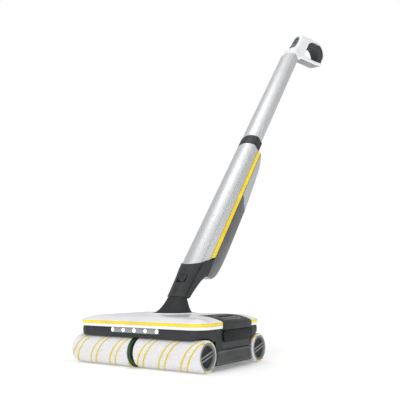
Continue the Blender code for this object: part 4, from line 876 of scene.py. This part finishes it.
stick_tube("silver_body", section(HALF, SPINE_FRONT - 0.0003, 0.003), BODY_LOW, BODY_HIGH - 0.0003, "silver",
           "body_shell", SLANT, 0.0006)
stick_tube("dark_collar", section(HALF + 0.0004, TUBE_BACK + 0.003), BODY_HIGH, TUBE_LOW - 0.0003, "dark", "collar",
           0.0, 0.0015)
stick_tube("silver_tube", section(HALF - 0.0006, TUBE_BACK), TUBE_LOW, TUBE_HIGH - 0.0003, "silver", "upper_tube",
           0.0, 0.0006)

# %% Yellow spine plate, and a thin black sheet of painted shade in the gap between the body and the tank
low, high = BODY_LOW + SLANT * (SPINE_FRONT + CREASE) + 0.0006, 0.516
outline = rounded_rectangle(HALF + 0.0002, (high - low) / 2, 0.005, 8, (0, (low + high) / 2))
for name, front_t, rear_t, edge, kind, slot, stands in (
        ("yellow_spine", SPINE_FRONT, SPINE_REAR, 0.0007, "yellow", None, ["spine_plate"]),
        # The black sheet is painted shade: it fills the gap between the spine plate and the tank to draw the gap's
        # shadow line.
        ("spine_gap_shade", SPINE_REAR + 0.0001, SPINE_REAR + 0.0010, 0.0003, "black", "dark_abs", [])):
    g = plate_grid(spread(outline, 0.003), front_t, rear_t, edge, 3)[..., [0, 2, 1]]
    share = np.clip((g[..., 2] - low) / (high - low), 0, 1)
    g[..., 2] += SLANT * (g[..., 1] - SPINE_FRONT) * (1 - share) ** 2
    finish(solid(name, on_stick(g)), "stick", kind, *stands, slot=slot)

# %% [markdown]
# The neck is slim at its foot and swells back into the seat of the clean water tank. Five sections
# are blended smoothly along it. Its foot is cut on a slant, and its top follows the body's slant.

# %% Neck
rows = flowing([(0.0, -0.0015, 0.0078), (0.30, -0.0008, 0.0108), (0.58, 0.0004, 0.0165), (0.76, 0.0020, SPINE_REAR),
                (1.0, 0.0030, SPINE_REAR)], 6)
neck_rows = []
for share, extra, rear in rows:
    s = NECK_LOW + share * (BODY_LOW - 0.0003 - NECK_LOW)
    shape = section(HALF + extra - 0.0002, min(rear, SPINE_REAR), 0.006)
    climb = 0.96 * SLANT * share**3 + FOOT_SLANT * (1 - share) ** 2
    neck_rows.append(np.column_stack([shape, s + climb * (shape[:, 1] + CREASE)]))
neck_rows.insert(0, neck_rows[0] * (0.965, 0.965, 1))
neck_rows[0][:, 2] = neck_rows[1][:, 2]
neck_rows[1][:, 2] += 0.0008
finish(solid("neck", on_stick(np.array(neck_rows))), "stick", "dark", "neck_housing")
outline = rounded_rectangle(0.0115, 0.0095, 0.0012, 5, (0, NECK_LOW + 0.040))
g = plate_grid(spread(outline, 0.001), -FRONT_CROWN - 0.0004, -FRONT_CROWN + 0.0016, 0.0004, 2)
g[..., 2] += (FRONT_CROWN - CREASE) * (g[..., 0] / (HALF - 0.001)) ** 2
finish(solid("badge", on_stick(g[..., [0, 2, 1]])), "stick", "badge", "badge_inlay")

# %% [markdown]
# The clean water tank hangs on the stick's back: a smoked tub whose foot curves up and away, and a
# silver cover that rounds off at its top. Its section is wide at the spine and narrower behind.

# %% Clean water tank
TANK_T = SPINE_REAR + 0.0012
TANK_SPLIT, TANK_TOP, TANK_BACK, TANK_LOW, SPLIT_SLANT = 0.372, 0.520, 0.0675, 0.126, -0.5


def tank_section(share, back):
    """From the wide front edge along the flank to the rounded back corner, then mirrored."""
    wide, slim = (HALF - 0.0008) * share, 0.0205 * share
    radius = min(0.011, (back - TANK_T) * 0.6)
    flank = [(wide - 0.0006, TANK_T + 0.0002), (wide, TANK_T + 0.0010),
             (wide - 0.0004, TANK_T + (back - TANK_T) * 0.2), (wide - 0.0008, TANK_T + (back - TANK_T) * 0.38)]
    right = np.vstack([flank, arc((slim - radius, back - radius), radius, 10, 90, 12)])
    return np.vstack([right, right[::-1] * (-1, 1)])


def tank_rows(stations):
    """Sections at stations (s, back, climb, share), where s grows by climb for each metre towards the back."""
    rows = []
    for s, back, climb, share in flowing(stations):
        shape = tank_section(share, back)
        rows.append(np.column_stack([shape, s + climb * (shape[:, 1] - TANK_T)]))
    return np.array(rows)


tub = tank_rows([(TANK_LOW, TANK_BACK - 0.022, 0.45, 0.985), (TANK_LOW + 0.0015, TANK_BACK - 0.0135, 0.52, 0.995),
                 (TANK_LOW + 0.006, TANK_BACK - 0.0075, 0.6, 1.0), (TANK_LOW + 0.016, TANK_BACK - 0.0035, 0.65, 1.0),
                 (TANK_LOW + 0.038, TANK_BACK - 0.001, 0.55, 1.0), (TANK_LOW + 0.073, TANK_BACK, 0.3, 1.0),
                 (TANK_LOW + 0.140, TANK_BACK, -0.1, 1.0),
                 (TANK_SPLIT - 0.0008, TANK_BACK - 0.002, SPLIT_SLANT, 1.0)])
finish(solid("smoked_tub", on_stick(tub)), "clean_tank", "smoked", "water_tank")
lid = tank_rows([(TANK_SPLIT, TANK_BACK - 0.0022, SPLIT_SLANT, 0.995),
                 (TANK_SPLIT + 0.0010, TANK_BACK - 0.0017, SPLIT_SLANT, 1.0),
                 (TANK_TOP - 0.060, 0.0575, 0, 1.0), (TANK_TOP - 0.030, 0.0535, 0, 1.0),
                 (TANK_TOP - 0.014, 0.0485, 0, 0.99), (TANK_TOP - 0.006, 0.0435, 0, 0.965),
                 (TANK_TOP - 0.001, 0.0365, 0, 0.92)])
lid_piece = solid("silver_tank_cover", on_stick(lid))
CAP_S = TANK_SPLIT + 0.060


def back_disc(name, line):
    """A line (back, radius) carried round an axis that points back from the stick."""
    t, u, v = turned(line)
    return solid(name, on_stick(np.stack([u, t, CAP_S + v], -1)))


carve(lid_piece, back_disc("tool", [(0.0545, 0.0113), (0.08, 0.0113)]))
finish(lid_piece, "clean_tank", "silver_paint", "tank_upper_cover")
cap_out = TANK_BACK - 0.0014
cap = back_disc("filler_stopper", [(0.0555, 0.0002), (0.0555, 0.0108), (cap_out - 0.0012, 0.0110),
                                  (cap_out - 0.0003, 0.0106), (cap_out, 0.0098), (cap_out, 0.0002)])
bar = plate_grid(spread(rounded_rectangle(0.0085, 0.0012, 0.0010, 4, (0, CAP_S)), 0.0008), cap_out - 0.001,
                 cap_out + 0.0008, 0.0005, 2)
finish(joined("filler_knob", cap, solid("bar", on_stick(bar[..., [0, 2, 1]]))), "clean_tank_cap", "black",
       "filler_cap")

# %% [markdown]
# The loop handle is two mouldings: a white shell that rises from the tube and carries the lower bar,
# and a black elastomer grip that closes the loop. Both are thick plates with well rounded rims. A
# white bow runs over the grip, and a grey band under the bar is painted shade for its shaded underside.

# %% Handle outlines, in the stick's side view (back, along)
BASE = TUBE_HIGH
HANDLE_HALF, GRIP_HALF = 0.015, 0.013


def raised(points):
    """Points (back, up) of the handle in millimetres, measured from the tube's top."""
    return np.asarray(points, float) * MM + (0, BASE)


top_line = flowing(raised([(-17, 0), (-12, 30), (-6.5, 58), (-4.5, 85), (-3.5, 112), (3.5, 128), (22, 147),
                           (50, 175), (76, 200), (92, 212.5)]), 6)
seam = raised([(86, 200), (70, 185), (54, 166)])
hole_line = flowing(raised([(44, 140), (43.5, 110), (42, 80), (52, 80.5), (82, 111), (116, 146.5)]), 6)
bar_end = flowing(raised([(128, 160), (136, 163), (137, 156), (124, 136), (112, 121)]), 3)
under_line = raised([(45, 52.5), (24, 30), (12, 0)])
shell_outline = softened(np.vstack([top_line, seam, hole_line, bar_end, under_line]), 0.0016, 3)
FLARE = 0.075


def flared(points):
    """x times 1 + spare (1 - (s - base) / 75 mm)^1.5: the foot of the shell is as wide as the tube it stands on."""
    x, t, s = np.moveaxis(np.asarray(points, float), -1, 0)
    share = np.clip(1 - (s - BASE) / FLARE, 0, 1)
    return on_stick(np.stack([x * (1 + ((HALF - 0.0006) / HANDLE_HALF - 1) * share**1.5), t, s], -1))


shell = side_plate("handle_white_shell", shell_outline, -HANDLE_HALF, HANDLE_HALF, 0.0085, flared)

# %% Control strip and buttons let into the shell's front
STRIP_LOW, STRIP_HIGH, STRIP_HALF = BASE + 0.040, BASE + 0.112, 0.0102
STRIP_MIDDLE, BOW = (STRIP_LOW + STRIP_HIGH) / 2, 9.0


def on_panel(points):
    """Points (x, depth, height): s = middle + height, t = the shell's own front line + depth + 9 x x."""
    x, d, h = np.moveaxis(np.asarray(points, float), -1, 0)
    s = STRIP_MIDDLE + h
    return on_stick(np.stack([x, np.interp(s, top_line[:, 1], top_line[:, 0]) + d + BOW * x**2, s], -1))


def panel_disc(name, radius, low, high, edge=0.0006, height=0.0):
    """A disc let into the strip, its edges cut off by the given amount."""
    d, u, v = turned([(low, 0.0002), (low, radius - edge), (low + edge, radius), (high - edge, radius),
                      (high, radius - edge), (high, 0.0002)], 48)
    return solid(name, on_panel(np.stack([u, d, height + v], -1)))


KEYS = {"power": 0.0, "boost": 0.018}
reach = (STRIP_HIGH - STRIP_LOW) / 2
point = [(-STRIP_HALF, -reach + 0.003), (-STRIP_HALF + 0.002, -reach), (STRIP_HALF - 0.002, -reach),
         (STRIP_HALF, -reach + 0.003), (STRIP_HALF - 0.0012, reach * 0.55), (STRIP_HALF - 0.005, reach * 0.9),
         (0, reach), (-STRIP_HALF + 0.005, reach * 0.9), (-STRIP_HALF + 0.0012, reach * 0.55)]
g = plate_grid(softened(point, 0.0009, 4), -0.0009, 0.0024, 0.0006, 3)
strip = solid("control_strip_face", on_panel(g[..., [0, 2, 1]]))
for height in KEYS.values():
    carve(shell, panel_disc("tool", 0.0055, -0.02, 0.0060, height=height))
    carve(strip, panel_disc("tool", 0.0055, -0.02, 0.0100, height=height))
finish(shell, "stick", "white", "handle_shell")
finish(strip, "stick", "control", "control_strip")
for name, height in KEYS.items():
    finish(panel_disc(f"{name}_key", 0.0052, -0.0012, 0.0040, 0.0008, height), name, "grip", f"{name}_button",
           slot="button_rubber")

# %% Grip
SEAM = 0.6  # mm between the grip and the shell
grip_outer = flowing(raised([(92.5 + SEAM, 212), (106, 216.5), (121, 213.5), (131.5, 203.5), (134.8, 188),
                             (133.5, 172), (133.5, 164.5 + SEAM)]), 5)
grip_low = raised([(127.5, 161.2 + SEAM), (115.8, 147.8 + SEAM)])
grip_inner = flowing(raised([(106.5, 147.5), (103.5, 158), (92, 164), (76, 158.5), (60, 143.5), (45.5, 138.5)]), 5)
grip_front = raised([(45.2, 140.5), (54.8, 165 - SEAM), (70.8, 184.2 - SEAM), (86.8, 199.2 - SEAM)])
grip_line = softened(np.vstack([grip_outer, grip_low, grip_inner, grip_front]), 0.0014, 2)
grip = side_plate("handle_soft_grip", grip_line, -GRIP_HALF, GRIP_HALF, 0.0075, on_stick)
finish(grip, "stick", "grip", "handle_grip")


def skin(name, line, out, inward, half, kind, slot):
    """A band that follows a side line: the line moved outwards, and back the other way moved inwards."""
    way = to_left(np.gradient(line, axis=0))
    band = softened(np.vstack([line + out * way, (line - inward * way)[::-1]]), 0.0012, 1)
    finish(side_plate(name, band, -half, half, 0.0045, on_stick), "stick", kind, slot=slot)


bow = flowing(raised([(86, 209), (92.5, 212), (106, 216.5), (121, 213.5), (131.5, 203.5), (134.8, 188),
                      (134.2, 178)]), 5)
skin("handle_white_bow", bow, 0.0006, 0.0042, GRIP_HALF + 0.0007, "white", "white_abs")
# Painted shade: a grey band along the underside of the lower bar, standing for the shading that falls there.
under_bar = flowing(raised([(34, 41), (45, 52.5), (78, 86.8), (112, 121), (124, 136), (133.5, 151)]), 5)
skin("handle_bar_painted_shade", under_bar, 0.0020, 0.0008, HANDLE_HALF - 0.0022, "cap_ring", "control_grey")

# %% [markdown]
# The pieces inside keep their own meshes, because their shapes are right. A copy with its loose
# triangles merged can be shaded smoothly and takes a small bevel, so that edges catch the light.

# %% Inner pieces
INNER = {
    "chassis_tray": ("head", "dark"), "base_plate": ("head", "steel"), "gearbox_case": ("head", "coated"),
    "gearbox_cover": ("head", "coated"), "drive_motor": ("head", "steel"), "battery_pack": ("head", "cells"),
    "control_board": ("head", "board"), "front_wiper": ("head", "wiper"), "rear_wiper": ("head", "wiper"),
    "joint_bracket": ("head", "cast"), "cross_yoke": ("joint_cross", "cast"), "lean_axle": ("joint_cross", "steel"),
    "steer_pin": ("stick", "steel"), "motor_pinion": ("motor_rotor", "steel"),
    "dirty_tank_tray": ("dirty_tank", "tray"),
}
for k in range(1, 5):
    INNER[f"idler_gear_{k}"] = (f"idler_{k}", "acetal")
for row in ("front", "rear"):
    INNER[f"{row}_drive_shaft"] = (f"{row}_rollers", "steel")
    for label, side in SIDES:
        INNER[f"{row}_{label}_core"] = (f"{row}_rollers", "core")
for node, (body, kind) in INNER.items():
    data = bpy.data.meshes.new(f"{node}_body")
    merged(nodes[node].data, data, outwards=False)
    finish(placed(f"{node}_body", data), body, kind, node, bevel=0.0002 if "gear" not in node else 0.0)

# %% [markdown]
# A studio: a large pale floor that glows a little with distance, so that it runs into the white
# backdrop, one broad soft key from the front, a fill from the right and a top light. Only the camera
# sees the backdrop, and the dimmer ambient light falls on the machine. The camera stands low at the
# right front corner and looks slightly up.

# %% Floor, light and camera
floor_mat, floor_tree, floor_shader, floor_where = blank("pale_studio_floor")
floor_tone = tone(floor_tree, floor_where, "#FAFAFA", "#FCFCFC", 400)
away = add(floor_tree, "VectorMath", {0: floor_where}, {1: (0, MID_Y, 0)}, operation="DISTANCE")
glow = add(floor_tree, "MapRange", {"Value": away.outputs["Value"]},
           {"From Min": 0.20, "From Max": 0.90, "To Min": 0.16, "To Max": 0.47})
plug(floor_tree, floor_shader, {"Base Color": floor_tone, "Emission Strength": glow.outputs["Result"]},
     {"Roughness": 0.9, "Emission Color": linear("#FFFFFF")})
FLOOR_HALF, FLOOR_Z = 30.0, -0.0004
floor_data = bpy.data.meshes.new("floor")
floor_data.from_pydata([(u * FLOOR_HALF, v * FLOOR_HALF, FLOOR_Z) for u, v in ((-1, -1), (1, -1), (1, 1), (-1, 1))],
                       [], [(0, 1, 2, 3)])
floor_data.materials.append(floor_mat)
placed("floor", floor_data)

world = bpy.data.worlds.new("studio")
scene.world = world
world.use_nodes = True
sky, sky_out = world.node_tree, world.node_tree.nodes["World Output"]
ambient = add(sky, "Background", None, {"Color": linear("#FFFFFF"), "Strength": 0.58})
backdrop = add(sky, "Background", None, {"Color": linear("#FFFFFF"), "Strength": 1.0})
seen = add(sky, "LightPath").outputs["Is Camera Ray"]
either = add(sky, "MixShader", {0: seen, 1: ambient.outputs[0], 2: backdrop.outputs[0]})
plug(sky, sky_out, {"Surface": either.outputs[0]})
target = Vector((0, MID_Y + 0.2, 0.35))
for name, place, size, power in (("key", (0.6, MID_Y - 2.2, 1.4), 1.8, 22), ("fill", (2.2, MID_Y + 0.4, 1.0), 1.2, 3),
                                 ("top", (-0.2, MID_Y - 0.2, 2.4), 1.0, 13)):
    light = bpy.data.lights.new(name, "AREA")
    light.size = size
    light.energy = power
    holder = placed(name, light)
    holder.location = place
    holder.rotation_euler = (target - Vector(place)).to_track_quat("-Z", "Y").to_euler()

FOCAL_MM, ROLL = 50.99, -0.0059
LOOK, STAND = Vector((-0.5704, 0.8077, 0.1493)), Vector((0.6977, MID_Y - 0.8826, 0.1443))
lens = bpy.data.cameras.new("camera")
lens.lens = FOCAL_MM
lens.sensor_width = 36.0
camera = placed("camera", lens)
turn_back = LOOK.to_track_quat("-Z", "Y").to_matrix() @ Matrix.Rotation(ROLL, 3, "Z")
camera.matrix_world = Matrix.Translation(STAND) @ turn_back.to_4x4()
scene.camera = camera
scene.view_settings.view_transform = "Standard"

# %% Update the scene and finish
bpy.context.view_layer.update()
